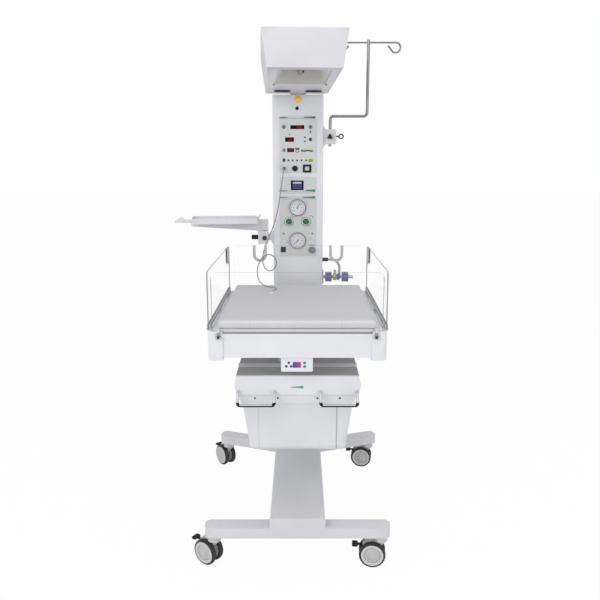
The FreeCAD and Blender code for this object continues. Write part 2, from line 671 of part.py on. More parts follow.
# Hood: tapered shell over the bed, turned on the column's top bearing
def make_hood():
    about = (0.0, size("column_front") + size("column_depth") / 2)
    axis_y = "column_front + column_depth / 2"

    def y(name):
        return "%s - (%s)" % (axis_y, name)

    def section(start, stop, wall):
        """A length of the hood's cross-section, narrower at the bottom, inset by a wall."""
        drop = "hood_top_front - hood_low_front"
        low_half = "hood_width_low - hood_width_top / 2 - %s" % wall
        high_half = "hood_width_top / 2 - %s" % wall
        profile = Profile()
        profile.pad(profile.outline("XZ_Plane", y(stop), [
            ("-(%s)" % low_half, "hood_low_front - (%s)" % drop), (low_half, "hood_low_front - (%s)" % drop),
            (high_half, "hood_top_front"), ("-(%s)" % high_half, "hood_top_front")]), "(%s) - (%s)" % (stop, start))
        return profile.body

    def side_view(corners, length):
        profile = Profile()
        profile.pad(profile.outline("YZ_Plane", "0", [("%s - (%s)" % (at, axis_y), z) for at, z in corners]),
                    length, middle=True)
        return profile.body

    def common(first, second):
        item = doc.addObject("Part::Common", "Common")
        item.Base = first
        item.Tool = second
        return item

    outer = common(section("hood_front", "hood_rear", "0"), side_view([
        ("hood_front", "hood_low_front"), ("hood_edge", "hood_low_edge"), ("hood_edge + 22", "hood_floor"),
        ("hood_rear", "hood_floor"), ("hood_rear", "hood_top_rear"), ("hood_front", "hood_top_front")],
        "2 * hood_width_top"))
    outer = soften(outer, 6, lambda e: e.Length > 400 and e.CenterOfMass.z > size("hood_top_rear") - 5)
    outer = soften(outer, 10, lambda e: abs(e.CenterOfMass.y + about[1] - size("hood_rear")) < 0.1
                   and e.CenterOfMass.z > size("hood_floor") + 5 and e.Length > 60)
    inner = common(section("hood_front + hood_wall", "hood_rear - hood_wall", "hood_wall"), side_view([
        ("hood_front + hood_wall", "hood_low_front - 12"), ("hood_edge - hood_wall", "hood_low_edge - 12"),
        ("hood_edge - hood_wall", "hood_floor + hood_wall"), ("hood_rear - hood_wall", "hood_floor + hood_wall"),
        ("hood_rear - hood_wall", "hood_top_rear - hood_wall"),
        ("hood_front + hood_wall", "hood_top_front - hood_wall")], "2 * hood_width_top"))
    inner = soften(inner, 4, lambda e: e.Length > 400 and e.CenterOfMass.z > size("hood_top_rear") - 12)
    bearing = rod("Z", 0, 0, "hood_floor - 1", "turret_pin + running_fit", "hood_wall + 2")
    shell = cut(outer, inner, bearing)

    liner = Profile()
    liner.loft([
        liner.outline("XZ_Plane", y("hood_front + hood_wall"), [
            ("-hood_width_low / 2 + hood_wall", "hood_low_front"), ("hood_width_low / 2 - hood_wall", "hood_low_front"),
            ("hood_width_low / 2 - hood_wall", "hood_low_front + 3"),
            ("-hood_width_low / 2 + hood_wall", "hood_low_front + 3")]),
        liner.outline("XZ_Plane", y("hood_edge - hood_wall"), [
            ("-hood_width_low / 2 + 2 * hood_wall", "hood_low_edge"),
            ("hood_width_low / 2 - 2 * hood_wall", "hood_low_edge"),
            ("hood_width_low / 2 - 2 * hood_wall", "hood_low_edge + 3"),
            ("-hood_width_low / 2 + 2 * hood_wall", "hood_low_edge + 3")])])
    mouth = block(("-recess_width / 2", "recess_width / 2"),
                  ("recess_front - (%s)" % axis_y, "recess_rear - (%s)" % axis_y), ("hood_low_edge - 5", "recess_top"))
    keep("hood_shell", fuse(shell, cut(liner.body, mouth)), size("hood_turn"), about)

    trough = Profile()
    slope = "(hood_low_front - hood_low_edge) / (hood_edge - hood_front)"

    def rim(where):
        return "hood_low_front + 3.4 - (%s - hood_front) * %s" % (where, slope)

    def trough_section(profile, at, grow):
        return profile.outline("XZ_Plane", y(at), [
            ("-recess_width / 2 + 2 - %s" % grow, rim(at)), ("recess_width / 2 - 2 + %s" % grow, rim(at)),
            ("recess_width / 2 - 46 + %s" % grow, "recess_top + %s" % grow),
            ("-recess_width / 2 + 46 - %s" % grow, "recess_top + %s" % grow)])

    trough.loft([trough_section(trough, "recess_front - reflector_sheet", "reflector_sheet"),
                 trough_section(trough, "recess_rear + reflector_sheet", "reflector_sheet")])
    hollow = Profile()

    def hollow_section(at):
        return hollow.outline("XZ_Plane", y(at), [
            ("-recess_width / 2 + 2", rim(at) + " - 2"), ("recess_width / 2 - 2", rim(at) + " - 2"),
            ("recess_width / 2 - 46", "recess_top"), ("-recess_width / 2 + 46", "recess_top")])

    hollow.loft([hollow_section("recess_front + 0.5"), hollow_section("recess_rear - 0.5")])
    ends = [rod("Y", 0, "recess_front - 30 - (%s)" % axis_y, "recess_top - 40", "heater_radius + 3", "60"),
            rod("Y", 0, "recess_rear - 30 - (%s)" % axis_y, "recess_top - 40", "heater_radius + 3", "60")]
    keep("reflector", cut(trough.body, hollow.body, *ends), size("hood_turn"), about)

    heater_y = "recess_front - 14 - (%s)" % axis_y
    length = "recess_rear - recess_front + 28"
    tube_rod = rod("Y", 0, heater_y, "recess_top - 40", "heater_radius", length)
    caps = [rod("Y", 0, start, "recess_top - 40", "heater_radius + 2.6", 20)
            for start in (heater_y, "recess_rear - 6 - (%s)" % axis_y)]
    keep("heater_element", fuse(tube_rod, *caps), size("hood_turn"), about)

    collar = rod("Z", 0, axis_y, "column_top", "turret_radius", "hood_floor - column_top - play")
    pin = rod("Z", 0, axis_y, "column_top", "turret_pin", "hood_floor - column_top + hood_wall + 10")
    cap = rod("Z", 0, axis_y, "hood_floor + hood_wall + play", "turret_pin + 8", "6")
    keep("hood_turret", fuse(collar, pin, cap))


# Bed: moulded deck with corner posts, mattress, clear panels and their hinges
def notch_tool(axis, where, at_y, grow=0):
    """A U-shaped cutter for a tube notch in a panel's top edge."""
    half = "notch_width / 2 - %s" % grow
    low = "panel_top - notch_depth + notch_width / 2"
    if axis == "Y":
        slot = block(("%s - (%s)" % (where, half), "%s + (%s)" % (where, half)), (at_y + " - 12", at_y + " + 12"),
                     (low, "panel_top + 8"))
        heel = rod("Y", where, at_y + " - 12", low, half, 24)
    else:
        slot = block((at_y + " - 12", at_y + " + 12"), ("%s - (%s)" % (where, half), "%s + (%s)" % (where, half)),
                     (low, "panel_top + 8"))
        heel = rod("X", at_y + " - 12", where, low, half, 24)
    return fuse(slot, heel)


def notch_grommet(axis, where, at_y):
    """A soft U edging pressed on the rim of a notch, 12 mm wide on the face."""
    half_thick = "clear_sheet / 2 + 2.5"
    low = "panel_top - notch_depth + notch_width / 2"
    reach = "notch_width / 2 + 7"
    if axis == "Y":
        slot = block(("%s - (%s)" % (where, reach), "%s + (%s)" % (where, reach)),
                     ("%s - (%s)" % (at_y, half_thick), "%s + (%s)" % (at_y, half_thick)), (low, "panel_top + 1"))
        heel = rod("Y", where, "%s - (%s)" % (at_y, half_thick), low, reach, "2 * (%s)" % half_thick)
        sheet_gap = block(("%s - 60" % where, "%s + 60" % where),
                          ("%s - clear_sheet / 2" % at_y, "%s + clear_sheet / 2" % at_y),
                          ("panel_top - 200", "panel_top + 20"))
    else:
        slot = block(("%s - (%s)" % (at_y, half_thick), "%s + (%s)" % (at_y, half_thick)),
                     ("%s - (%s)" % (where, reach), "%s + (%s)" % (where, reach)), (low, "panel_top + 1"))
        heel = rod("X", "%s - (%s)" % (at_y, half_thick), where, low, reach, "2 * (%s)" % half_thick)
        sheet_gap = block(("%s - clear_sheet / 2" % at_y, "%s + clear_sheet / 2" % at_y),
                          ("%s - 60" % where, "%s + 60" % where), ("panel_top - 200", "panel_top + 20"))
    sheet_gap = cut(sheet_gap, notch_tool(axis, where, at_y))
    return cut(fuse(slot, heel), notch_tool(axis, where, at_y, 5), sheet_gap)


def make_bed():
    rear = "bed_front + bed_length"
    tray = block(both("bed_width"), ("bed_front", rear), ("bed_low", "bed_high"))
    tray = soften(tray, 5, lambda e: along(e, "X") and e.CenterOfMass.z > size("bed_high") - 1)
    hollow = block(("-bed_width / 2 + bed_wall", "bed_width / 2 - bed_wall"),
                   ("bed_front + bed_wall", rear + " - bed_wall"), ("bed_low - 1", "bed_high - bed_wall"))
    platform = block(("-bed_width / 2 + 8", "bed_width / 2 - 8"), ("bed_front + 16", rear + " - 16"),
                     ("bed_high", "deck_high"))
    ribs = [block(("-bed_width / 2 + bed_wall", "bed_width / 2 - bed_wall"), (at, at + " + 4"),
                  ("bed_high - 22", "bed_high - bed_wall")) for at in ("tilt_y - 120", "tilt_y - 24", "tilt_y + 20",
                                                                       "tilt_y + 120")]
    posts = []
    blanks = []
    for side in (-1, 1):
        for end in (-1, 1):
            x = "%d * (bed_width / 2 + post_proud)" % side
            y = "bed_front - post_proud" if end < 0 else rear + " + post_proud"
            xs = sorted_pair(x, "%d * (bed_width / 2 + post_proud - post_size)" % side, side)
            ys = sorted_pair(y, "%s + %d * post_size" % (y, -end), end)
            post = block(xs, ys, ("post_low", "deck_high"))
            post = soften(post, size("post_corner"), lambda e, s=side, n=end: along(e, "Z")
                          and e.CenterOfMass.x * s > size("bed_width") / 2
                          and (e.CenterOfMass.y - size("tilt_y")) * n > size("bed_length") / 2 - 10)
            post = soften(post, 4, lambda e: e.CenterOfMass.z > size("deck_high") - 0.01)
            posts.append(post)
            blanks.append(block(xs, ys, ("post_low - 5", "deck_high + 5")))
    ears = []
    for side in (-1, 1):
        xs = sorted_pair("%d * (arm_width / 2 + 6)" % side, "%d * (arm_width / 2 + 14)" % side, -side)
        ears.append(block(xs, ("tilt_y - 20", "tilt_y + 20"), ("tilt_z", "bed_high - bed_wall")))
        ears.append(rod("X", xs[0], "tilt_y", "tilt_z", "ear_radius", 8))
    shaft_bore = rod("X", "-arm_width", "tilt_y", "tilt_z", "tilt_shaft + running_fit", "2 * arm_width")
    deck = cut(fuse(cut(tray, hollow), platform, *(ribs + ears)), *(blanks + [shaft_bore]))
    keep("bed_deck", deck)
    keep("corner_posts", group(*posts))

    pad = block(both("mattress_width"), ("mattress_front", "mattress_front + mattress_length"),
                ("deck_high + 0.3", "deck_high + 0.3 + mattress_thick"))
    pad = soften(pad, 8, lambda e: True)
    keep("mattress", pad)

    # rear panel with two tube notches, held in a channel
    low = "deck_high + 1"
    y0, y1 = "rear_panel_y - clear_sheet / 2", "rear_panel_y + clear_sheet / 2"
    panel = block(both("rear_panel_width"), (y0, y1), (low, "panel_top"))
    panel = soften(panel, size("panel_corner"), lambda e: along(e, "Y") and e.CenterOfMass.z > size("panel_top") - 1)
    notches = [notch_tool("Y", "%d * rear_notch_x" % side, "rear_panel_y") for side in (-1, 1)]
    keep("rear_panel", cut(panel, *notches))
    channel = block(("-bed_width / 2 - post_proud + post_size + 1", "bed_width / 2 + post_proud - post_size - 1"),
                    (y0 + " - channel_wall", y1 + " + channel_wall - 1"), ("bed_high", "deck_high + 14"))
    groove = block(both("rear_panel_width"), (y0, y1), (low, "deck_high + 30"))
    grommets = [notch_grommet("Y", "%d * rear_notch_x" % side, "rear_panel_y") for side in (-1, 1)]
    keep("rear_trim", group(cut(channel, groove), *grommets))

    # side panels on long channels that swing on barrels outside the deck
    for name, side in (("left", -1), ("right", 1)):
        x = "%d * side_panel_x" % side
        xs = ("%s - clear_sheet / 2" % x, "%s + clear_sheet / 2" % x)
        sheet_low = "deck_high + 3"
        panel = block(xs, ("side_panel_front", "side_panel_rear"), (sheet_low, "panel_top"))
        panel = soften(panel, size("panel_corner"),
                       lambda e: along(e, "X") and e.CenterOfMass.z > size("panel_top") - 1)
        keep("side_panel_%s" % name, cut(panel, notch_tool("X", "side_notch_y", x)))
        rail = block(("%s - clear_sheet / 2 - channel_wall" % x, "%s + clear_sheet / 2 + channel_wall" % x),
                     ("side_panel_front", "side_panel_rear"), ("deck_high + play", "deck_high + 20"))
        slot = block(xs, ("side_panel_front - 1", "side_panel_rear + 1"), (sheet_low, "deck_high + 30"))
        barrels = []
        bores = []
        spans = (("bed_front + 86.5", "tilt_y - 20.5"), ("tilt_y + 20.5", rear + " - 86.5"))
        for start, stop in spans:
            barrels.append(rod("Y", "%d * side_hinge_x" % side, start, "side_hinge_z", "hinge_barrel",
                               "(%s) - (%s)" % (stop, start)))
            web_x = sorted_pair("%d * (side_hinge_x - 5)" % side, "%d * (side_hinge_x + hinge_barrel)" % side, -side)
            barrels.append(block(web_x, (start, stop), ("side_hinge_z", "deck_high + 6")))
            bores.append(rod("Y", "%d * side_hinge_x" % side, "bed_front", "side_hinge_z",
                             "hinge_pin + running_fit", "bed_length"))
        joined = cut(fuse(cut(rail, slot), *barrels), *bores)
        keep("side_trim_%s" % name, group(joined, notch_grommet("X", "side_notch_y", x)))

    # hinge pins with their knuckles, and the ears of the front panel's two clips
    hinges = []
    for side in (-1, 1):
        x = "%d * side_hinge_x" % side
        pin = rod("Y", x, "bed_front + 60", "side_hinge_z", "hinge_pin", "bed_length - 120")
        knuckles = [pin]
        for start, stop in (("bed_front + 60", "bed_front + 86"), ("tilt_y - 20", "tilt_y + 20"),
                            (rear + " - 86", rear + " - 60")):
            length = "(%s) - (%s)" % (stop, start)
            knuckles.append(rod("Y", x, start, "side_hinge_z", "hinge_barrel", length))
            leaf = sorted_pair("%d * bed_width / 2" % side, x, -side)
            knuckles.append(block(leaf, (start, stop), ("side_hinge_z - 12", "side_hinge_z")))
        hinges.append(fuse(*knuckles))
        for clip in (-1, 1):
            centre = "%d * front_clip_x + %d * 7.4" % (side, clip)
            ear = block((centre + " - 2.5", centre + " + 2.5"), ("front_hinge_y - 4.5", "bed_front - post_proud"),
                        ("front_hinge_z - 6", "front_hinge_z + 4.5"))
            hinges.append(ear)
        hinges.append(rod("X", "%d * front_clip_x - 4.9" % side, "front_hinge_y", "front_hinge_z", "hinge_pin", "9.8"))
    keep("panel_hinges", group(*hinges))

    # front panel with its trim bar and two black clips
    y0, y1 = "front_panel_y - clear_sheet / 2", "front_panel_y + clear_sheet / 2"
    panel = block(both("front_panel_width"), (y0, y1), ("deck_high + 1", "panel_top"))
    panel = soften(panel, size("panel_corner"), lambda e: along(e, "Y") and e.CenterOfMass.z > size("panel_top") - 1)
    keep("front_panel", panel)
    bar = block(("-bed_width / 2 - post_proud + post_size + 1", "bed_width / 2 + post_proud - post_size - 1"),
                (y0 + " - channel_wall - 1", y1 + " + channel_wall + 1"), ("bed_high + play", "deck_high + 7"))
    groove = block(both("front_panel_width"), (y0, y1), ("deck_high + 1", "deck_high + 40"))
    clips = []
    for side in (-1, 1):
        x = "%d * front_clip_x" % side
        xs = (x + " - 4.5", x + " + 4.5")
        body = block(xs, (y0 + " - channel_wall - 1", y1 + " + channel_wall + 1"), ("deck_high + 0.6", "deck_high + 8"))
        arm = block(xs, ("front_hinge_y - 4.5", y0), ("deck_high + 0.6", "deck_high + 5"))
        tongue = block(xs, ("front_hinge_y - 4.5", "bed_front - post_proud - 0.3"), ("front_hinge_z", "deck_high + 3"))
        barrel = rod("X", xs[0], "front_hinge_y", "front_hinge_z", "hinge_barrel", "9")
        bore = rod("X", x + " - 20", "front_hinge_y", "front_hinge_z", "hinge_pin + running_fit", "40")
        clips.append(cut(fuse(body, arm, tongue, barrel), bore, groove_copy(y0, y1)))
    keep("front_clips", group(cut(bar, groove), *clips))

    # weighing display under the front apron, hung from the deck by a bracket
    low, high = "display_low", "bed_low"
    box = block(("-display_width / 2 - 2", "display_width / 2 - 2"), ("display_front", "display_front + display_depth"),
                (low, high))
    box = soften(box, 4, lambda e: along(e, "Y"))
    window = block(("-17", "13"), ("display_front - 1", "display_front + 1"), (low + " + 14", high + " - 14"))
    bracket = block(("-42", "38"), ("bed_front + bed_wall + 1", "bed_front + bed_wall + 5"),
                    (high, "bed_high - bed_wall"))
    keep("weight_display", fuse(cut(box, window), bracket))


def groove_copy(y0, y1):
    return block(both("front_panel_width"), (y0, y1), ("deck_high + 1", "deck_high + 40"))


def sorted_pair(first, second, side):
    """The pair in rising order; side says which end of the axis the first lies on."""
    return (second, first) if side > 0 else (first, second)


# Support arm from the column, cabinet under it, and the drawer with its bin and handles
def make_cabinet():
    arm = block(both("arm_width"), ("arm_front", "column_front"), ("arm_low", "arm_low + arm_height"))
    arm = soften(arm, 5, lambda e: along(e, "Y"))
    flange = block(("-arm_width / 2 - 20", "arm_width / 2 + 20"), ("column_front - 8", "column_front"),
                   ("arm_low - 60", "arm_low + arm_height"))
    cheeks = []
    for side in (-1, 1):
        xs = sorted_pair("%d * (arm_width / 2 - 18)" % side, "%d * (arm_width / 2 + 4)" % side, -side)
        cheeks.append(block(xs, ("tilt_y - 20", "tilt_y + 20"), ("arm_low + arm_height - 6", "tilt_z")))
        cheeks.append(rod("X", xs[0], "tilt_y", "tilt_z", "ear_radius", 22))
    shaft = rod("X", "-arm_width / 2 - 20", "tilt_y", "tilt_z", "tilt_shaft", "arm_width + 40")
    lever = rod("Y", "-40", "arm_front - 150", "arm_low + 20", "6", "152")
    grip = rod("X", "-74", "arm_front - 150", "arm_low + 20", "9", "44")
    keep("bed_support", fuse(arm, flange, shaft, lever, grip, *cheeks))

    rear = "cabinet_front + cabinet_depth"
    face_back = "cabinet_front + drawer_front_sheet + play"

    def hexagon(start, stop, wall, drop="0", lid="0"):
        """A length of the cabinet's section, widest below its top edge."""
        middle = "cabinet_low + cabinet_waist"
        profile = Profile()
        profile.pad(profile.outline("XZ_Plane", "-(%s)" % stop, [
            ("-cabinet_width / 2 + %s" % wall, "cabinet_low - %s" % drop),
            ("cabinet_width / 2 - %s" % wall, "cabinet_low - %s" % drop),
            ("cabinet_width / 2 + cabinet_bulge - %s" % wall, middle),
            ("cabinet_width / 2 - %s" % wall, "cabinet_top - %s" % lid),
            ("-cabinet_width / 2 + %s" % wall, "cabinet_top - %s" % lid),
            ("-cabinet_width / 2 - cabinet_bulge + %s" % wall, middle)]), "(%s) - (%s)" % (stop, start))
        return profile.body

    walls = hexagon(face_back, rear, "0")
    inside = hexagon(face_back + " - 1", rear + " - cabinet_wall", "cabinet_wall", "1", "cabinet_wall")
    channels = []
    for side in (-1, 1):
        outer = "%d * (cabinet_width / 2 - cabinet_wall)" % side
        inner = "%d * (bin_width_top / 2 + 3)" % side
        xs = sorted_pair(outer, inner, side)
        bar = block(xs, (face_back + " + 4", rear + " - cabinet_wall"), ("cabinet_low + 26", "cabinet_low + 50"))
        lip_x = sorted_pair("%d * (bin_width_top / 2 + 13)" % side, "%d * (bin_width_top / 2)" % side, side)
        slot = block(lip_x, (face_back, rear + " - cabinet_wall"), ("cabinet_low + 34", "cabinet_low + 42"))
        channels.append(cut(bar, slot))
    rail = block(both("cabinet_width"), ("cabinet_front + 99", "cabinet_front + 107"), ("arm_low", "arm_low + 13"))
    keep("cabinet_carcass", group(fuse(cut(walls, inside), *channels), rail))

    top = block(("-cabinet_width / 2", "cabinet_width / 2"), ("cabinet_front - 2", rear), ("cabinet_top", "arm_low"))
    keep("cabinet_top_plate", top)

    front = hexagon("cabinet_front", "cabinet_front + drawer_front_sheet", "0", "0", "play")
    front = soften(front, 3, lambda e: e.CenterOfMass.y < size("cabinet_front") + 0.1
                   and e.CenterOfMass.z < size("cabinet_top") - 1)
    keep("drawer_front", front)

    def level(z, width, inset):
        return (z, "-(%s) / 2" % width, "(%s) / 2" % width, "cabinet_front + 8 + %s" % inset,
                "cabinet_front + 8 + bin_depth - (%s)" % inset)

    shell = frustum(level("bin_low", "bin_width_low", "14"), level("band_low", "bin_width_top", "0"))
    shell = soften(shell, 22, lambda e: e.CenterOfMass.z < size("band_low") - 5)
    inner = frustum(level("bin_low + bin_wall", "bin_width_low - 2 * bin_wall", "14 + bin_wall"),
                    level("band_low + 1", "bin_width_top - 2 * bin_wall", "bin_wall"))
    inner = soften(inner, 19, lambda e: e.CenterOfMass.z < size("band_low") - 5)
    band = frustum(level("band_low", "band_width - 16", "-4"), level("cabinet_low - play", "band_width", "-4"))
    opening = block(("-bin_width_top / 2 + bin_wall", "bin_width_top / 2 - bin_wall"),
                    ("cabinet_front + 8 + bin_wall", "cabinet_front + 8 + bin_depth - bin_wall"),
                    ("band_low - 1", "cabinet_low + 60"))
    runners = []
    for side in (-1, 1):
        xs = sorted_pair("%d * (bin_width_top / 2)" % side, "%d * (bin_width_top / 2 - bin_wall)" % side, side)
        wall = block(xs, ("cabinet_front + drawer_front_sheet", "cabinet_front + 8 + bin_depth"),
                     ("cabinet_low - 5", "cabinet_low + 41"))
        lips = sorted_pair("%d * (bin_width_top / 2 + 12)" % side, "%d * (bin_width_top / 2 - bin_wall)" % side, side)
        lip = block(lips, ("cabinet_front + drawer_front_sheet + 6", "cabinet_front + 8 + bin_depth"),
                    ("cabinet_low + 35", "cabinet_low + 41"))
        runners += [wall, lip]
    face_gap = block(("-cabinet_width", "cabinet_width"), ("cabinet_front - 5", "cabinet_front + drawer_front_sheet"),
                     ("cabinet_low", "cabinet_top"))
    body = fuse(cut(fuse(shell, band), inner, opening), *runners)
    keep("storage_bin", cut(body, face_gap))

    handles = []
    for side in (-1, 1):
        left = side * size("handle_x") - size("handle_span") / 2
        right = side * size("handle_x") + size("handle_span") / 2
        top_z = size("cabinet_low") + 15
        bar_z = top_z - size("handle_drop")
        face = size("cabinet_front")
        bar_y = face - size("handle_reach")
        points = [(left, face, top_z), (left, face - 14, top_z), (left, bar_y, bar_z), (right, bar_y, bar_z),
                  (right, face - 14, top_z), (right, face, top_z)]
        handle, _, _ = tube(points, size("handle_rod"), 9)
        handles.append(handle)
    keep("drawer_handles", group(*handles))


# Monitor shelf on the left and infusion pole on the right, each held by a clamp on the column's rail
def make_accessories():
    fittings = []
    for side, z0, z1 in ((-1, "shelf_clamp_z - 36", "shelf_clamp_z + 34"), (1, "pole_clamp_z - 48", "pole_clamp_z + 52")):
        face = "%d * column_width / 2" % side
        outer = "%d * (column_width / 2 + 12)" % side
        rail = Profile()
        rail.pad(rail.outline("XZ_Plane", "-pole_y", [
            (face, z0), (outer, z0 + " + 20"), (outer, z1 + " - 20"), (face, z1)]), "30", middle=True)
        fittings.append(rail.body)

    def clamp(x, z, post, low, high):
        """A block that holds an upright rod, with the edges towards the rod's ends rounded."""
        body = block(x, ("pole_y - 21", "pole_y + 21"), ("%s - %s" % (z, low), "%s + %s" % (z, high)))
        body = soften(body, 4, lambda e: along(e, "Z"))
        return cut(body, rod("Z", post[0], "pole_y", z + " - 50", post[1] + " + running_fit", 100))

    shelf_block = clamp(("shelf_post_x - 24", "shelf_post_x + 22"), "shelf_clamp_z",
                        ("shelf_post_x", "shelf_post_radius"), 31, 30)
    bridge = block(("shelf_post_x + 21", "-column_width / 2 - 12"), ("pole_y - 9", "pole_y + 9"),
                   ("shelf_clamp_z - 15", "shelf_clamp_z + 15"))
    button = rod("Y", "shelf_post_x + 6", "pole_y - 30", "shelf_clamp_z - 2", 10, 10)
    stud = rod("X", "shelf_post_x - 46", "pole_y", "shelf_clamp_z - 2", "3", "24")
    fittings.append(fuse(shelf_block, bridge, button, stud))

    pole_block = clamp(("column_width / 2 + 12", "pole_x + 27"), "pole_clamp_z", ("pole_x", "pole_radius"), 31, 33)
    stud = rod("Y", "pole_x - 2", "pole_y - 38", "pole_clamp_z", "3", "20")
    stem = rod("X", "pole_x + 26", "pole_y", "pole_clamp_z + 3", "3.6", "14")
    ring = cut(rod("Y", "pole_x + 50", "pole_y - 3", "pole_clamp_z + 3", 12.4, 6),
               rod("Y", "pole_x + 50", "pole_y - 4", "pole_clamp_z + 3", 7, 8))
    fittings.append(fuse(pole_block, stud, stem, ring))
    keep("rail_clamps", group(*fittings))

    for name, axis, at in (("shelf_clamp_knob", "X", ("shelf_post_x - 55", "pole_y", "shelf_clamp_z - 2")),
                           ("pole_clamp_knob", "Y", ("pole_x - 2", "pole_y - 42", "pole_clamp_z"))):
        length = 30.6 if axis == "X" else 20.6
        core = rod(axis, *at, 8, length)
        lobes = []
        for n in range(3):
            aside = "7.5 * cos(%d)" % (120 * n + 90)
            up = "%s + 7.5 * sin(%d)" % (at[2], 120 * n + 90)
            spot = (at[0], "%s + %s" % (at[1], aside), up) if axis == "X" else ("%s + %s" % (at[0], aside), at[1], up)
            lobes.append(rod(axis, *spot, 4.6, length))
        reach = ("%s + 8.7" % at[0], at[1], at[2]) if axis == "X" else (at[0], "%s + 3.7" % at[1], at[2])
        bore = rod(axis, *reach, "3 + running_fit", length)
        keep(name, cut(fuse(core, *lobes), bore))

    # shelf, built with its post on Z: tapered arm, shallow tray with a raised rim, and a lever at each end
    post = rod("Z", 0, 0, "shelf_clamp_z - 30", "shelf_post_radius", "shelf_z - shelf_clamp_z + 40")
    collar = rod("Z", 0, 0, "shelf_clamp_z + 30.4", "14", "6")
    arm = Profile()
    arm.pad(arm.outline("XZ_Plane", "0", [
        ("22", "shelf_z + 13"), ("22", "shelf_z - 36"), ("-22", "shelf_z - 38"), ("tray_left - 4", "shelf_z - 14"),
        ("tray_left - 4", "shelf_z"), ("tray_right", "shelf_z"), ("tray_right", "shelf_z + 13")]), "44", middle=True)
    tray = block(("tray_left", "tray_right"), ("tray_front", "tray_rear"), ("shelf_z", "shelf_z + tray_rim"))
    tray = soften(tray, 10, lambda e: along(e, "Z"))
    well = block(("tray_left + tray_wall", "tray_right - tray_wall"), ("tray_front + tray_wall", "tray_rear - tray_wall"),
                 ("shelf_z + tray_wall", "shelf_z + tray_rim + 1"))
    well = soften(well, 8, lambda e: along(e, "Z"))
    left_lever = Profile()
    left_lever.pad(left_lever.outline("XZ_Plane", "0", [
        ("tray_left + 1", "shelf_z + 2"), ("lever_left", "shelf_z + 2"), ("lever_left", "shelf_z + 10"),
        ("lever_left + 28", "shelf_z + 25"), ("lever_left + 40", "shelf_z + 22"), ("lever_left + 40", "shelf_z + 14"),
        ("tray_left + 1", "shelf_z + 14")]), "40", middle=True)
    right_lever = Profile()
    right_lever.pad(right_lever.outline("XZ_Plane", "0", [
        ("tray_right - 1", "shelf_z + 12"), ("tray_right + 6", "shelf_z + 12"), ("tray_right + 20", "shelf_z + 36"),
        ("tray_right + 15", "shelf_z + 38"), ("tray_right - 1", "shelf_z + 20")]), "14", middle=True)
    keep("shelf", fuse(post, collar, arm.body, cut(tray, well), left_lever.body, right_lever.body),
         size("shelf_turn"), (size("shelf_post_x"), size("shelf_post_y")))

    # pole: one bent rod with a cross-bar whose ends curl into loops
    x, y = size("pole_x"), size("pole_y")
    out = x + size("pole_reach")
    top = size("pole_top")
    upright, _, _ = tube([(x, y, size("pole_low")), (x, y, size("pole_elbow")), (out, y, size("pole_elbow")),
                          (out, y, top + size("pole_tip"))], size("pole_radius"), size("pole_bend"))
    loop = size("hook_loop")
    step = 33
    corners = 7
    hooks = [upright]
    for side in (-1, 1):
        centre_x = out + side * (size("hook_half") - loop)
        curl = [(out, y, top)]
        for n in range(corners):
            angle = math.radians(90 - step * (n + 0.5))
            reach = loop / math.cos(math.radians(step / 2))
            curl.append((centre_x + side * reach * math.cos(angle), y, top - loop + reach * math.sin(angle)))
        leave = math.radians(90 - step * corners)
        curl.append((centre_x + side * (loop * math.cos(leave) + size("hook_tail") * math.sin(leave)), y,
                     top - loop + loop * math.sin(leave) - size("hook_tail") * math.cos(leave)))
        bar, _, _ = tube(curl, size("hook_radius"), loop)
        hooks.append(bar)
    keep("iv_pole", fuse(*hooks))


# Gas fittings on the right of the column: bracket, two valve bodies with lobed knobs, and a short hose
def make_gas():
    y, z = "manifold_y", "manifold_z"
    side = "column_width / 2"
    plate = block((side, side + " + 5"), (y + " - 22", y + " + 22"), (z + " - 30", z + " + 30"))
    pipe = rod("X", side, y, z, 8, 145)
    bodies = [rod("X", side + " + 50", y, z, 17, 16), rod("X", side + " + 68", y, z, 15, 14)]
    nipples = []
    for x in (side + " + 60", side + " + 80"):
        nipples.append(rod("Z", x, y, z + " + 8", 6, 24))
        nipples.append(taper("Z", x, y, z + " + 24", 5, 3.5, 10))
    cuff = rod("X", side, y, z + " + 82", 9, 26)
    keep("gas_manifold", group(fuse(plate, pipe, *(bodies + nipples)), cuff))
    for name, start in (("manifold_knob_left", side + " + 14"), ("manifold_knob_right", side + " + 92")):
        core = rod("X", start, y, z, 17, 30)
        lobes = [rod("X", start, "%s + 17 * cos(%d)" % (y, 60 * n), "%s + 17 * sin(%d)" % (z, 60 * n), 7, 30)
                 for n in range(6)]
        bore = rod("X", start + " - 1", y, z, "8 + running_fit", 32)
        keep(name, cut(fuse(core, *lobes), bore))

    start_x = size("column_width") / 2 + 26
    nipple_x = size("column_width") / 2 + 80
    low = size("manifold_z")
    y = size("manifold_y")
    hose, length, radii = tube([(start_x + 0.2, y, low + 82), (start_x + 18, y, low + 82), (start_x + 40, y - 3, low + 76),
                                (nipple_x, y, low + 54), (nipple_x, y, low + 34.2)], size("hose_radius"))
    print("gas hose length %.0f, radii %s" % (length, [round(r) for r in radii]))
    keep("gas_hose", hose)


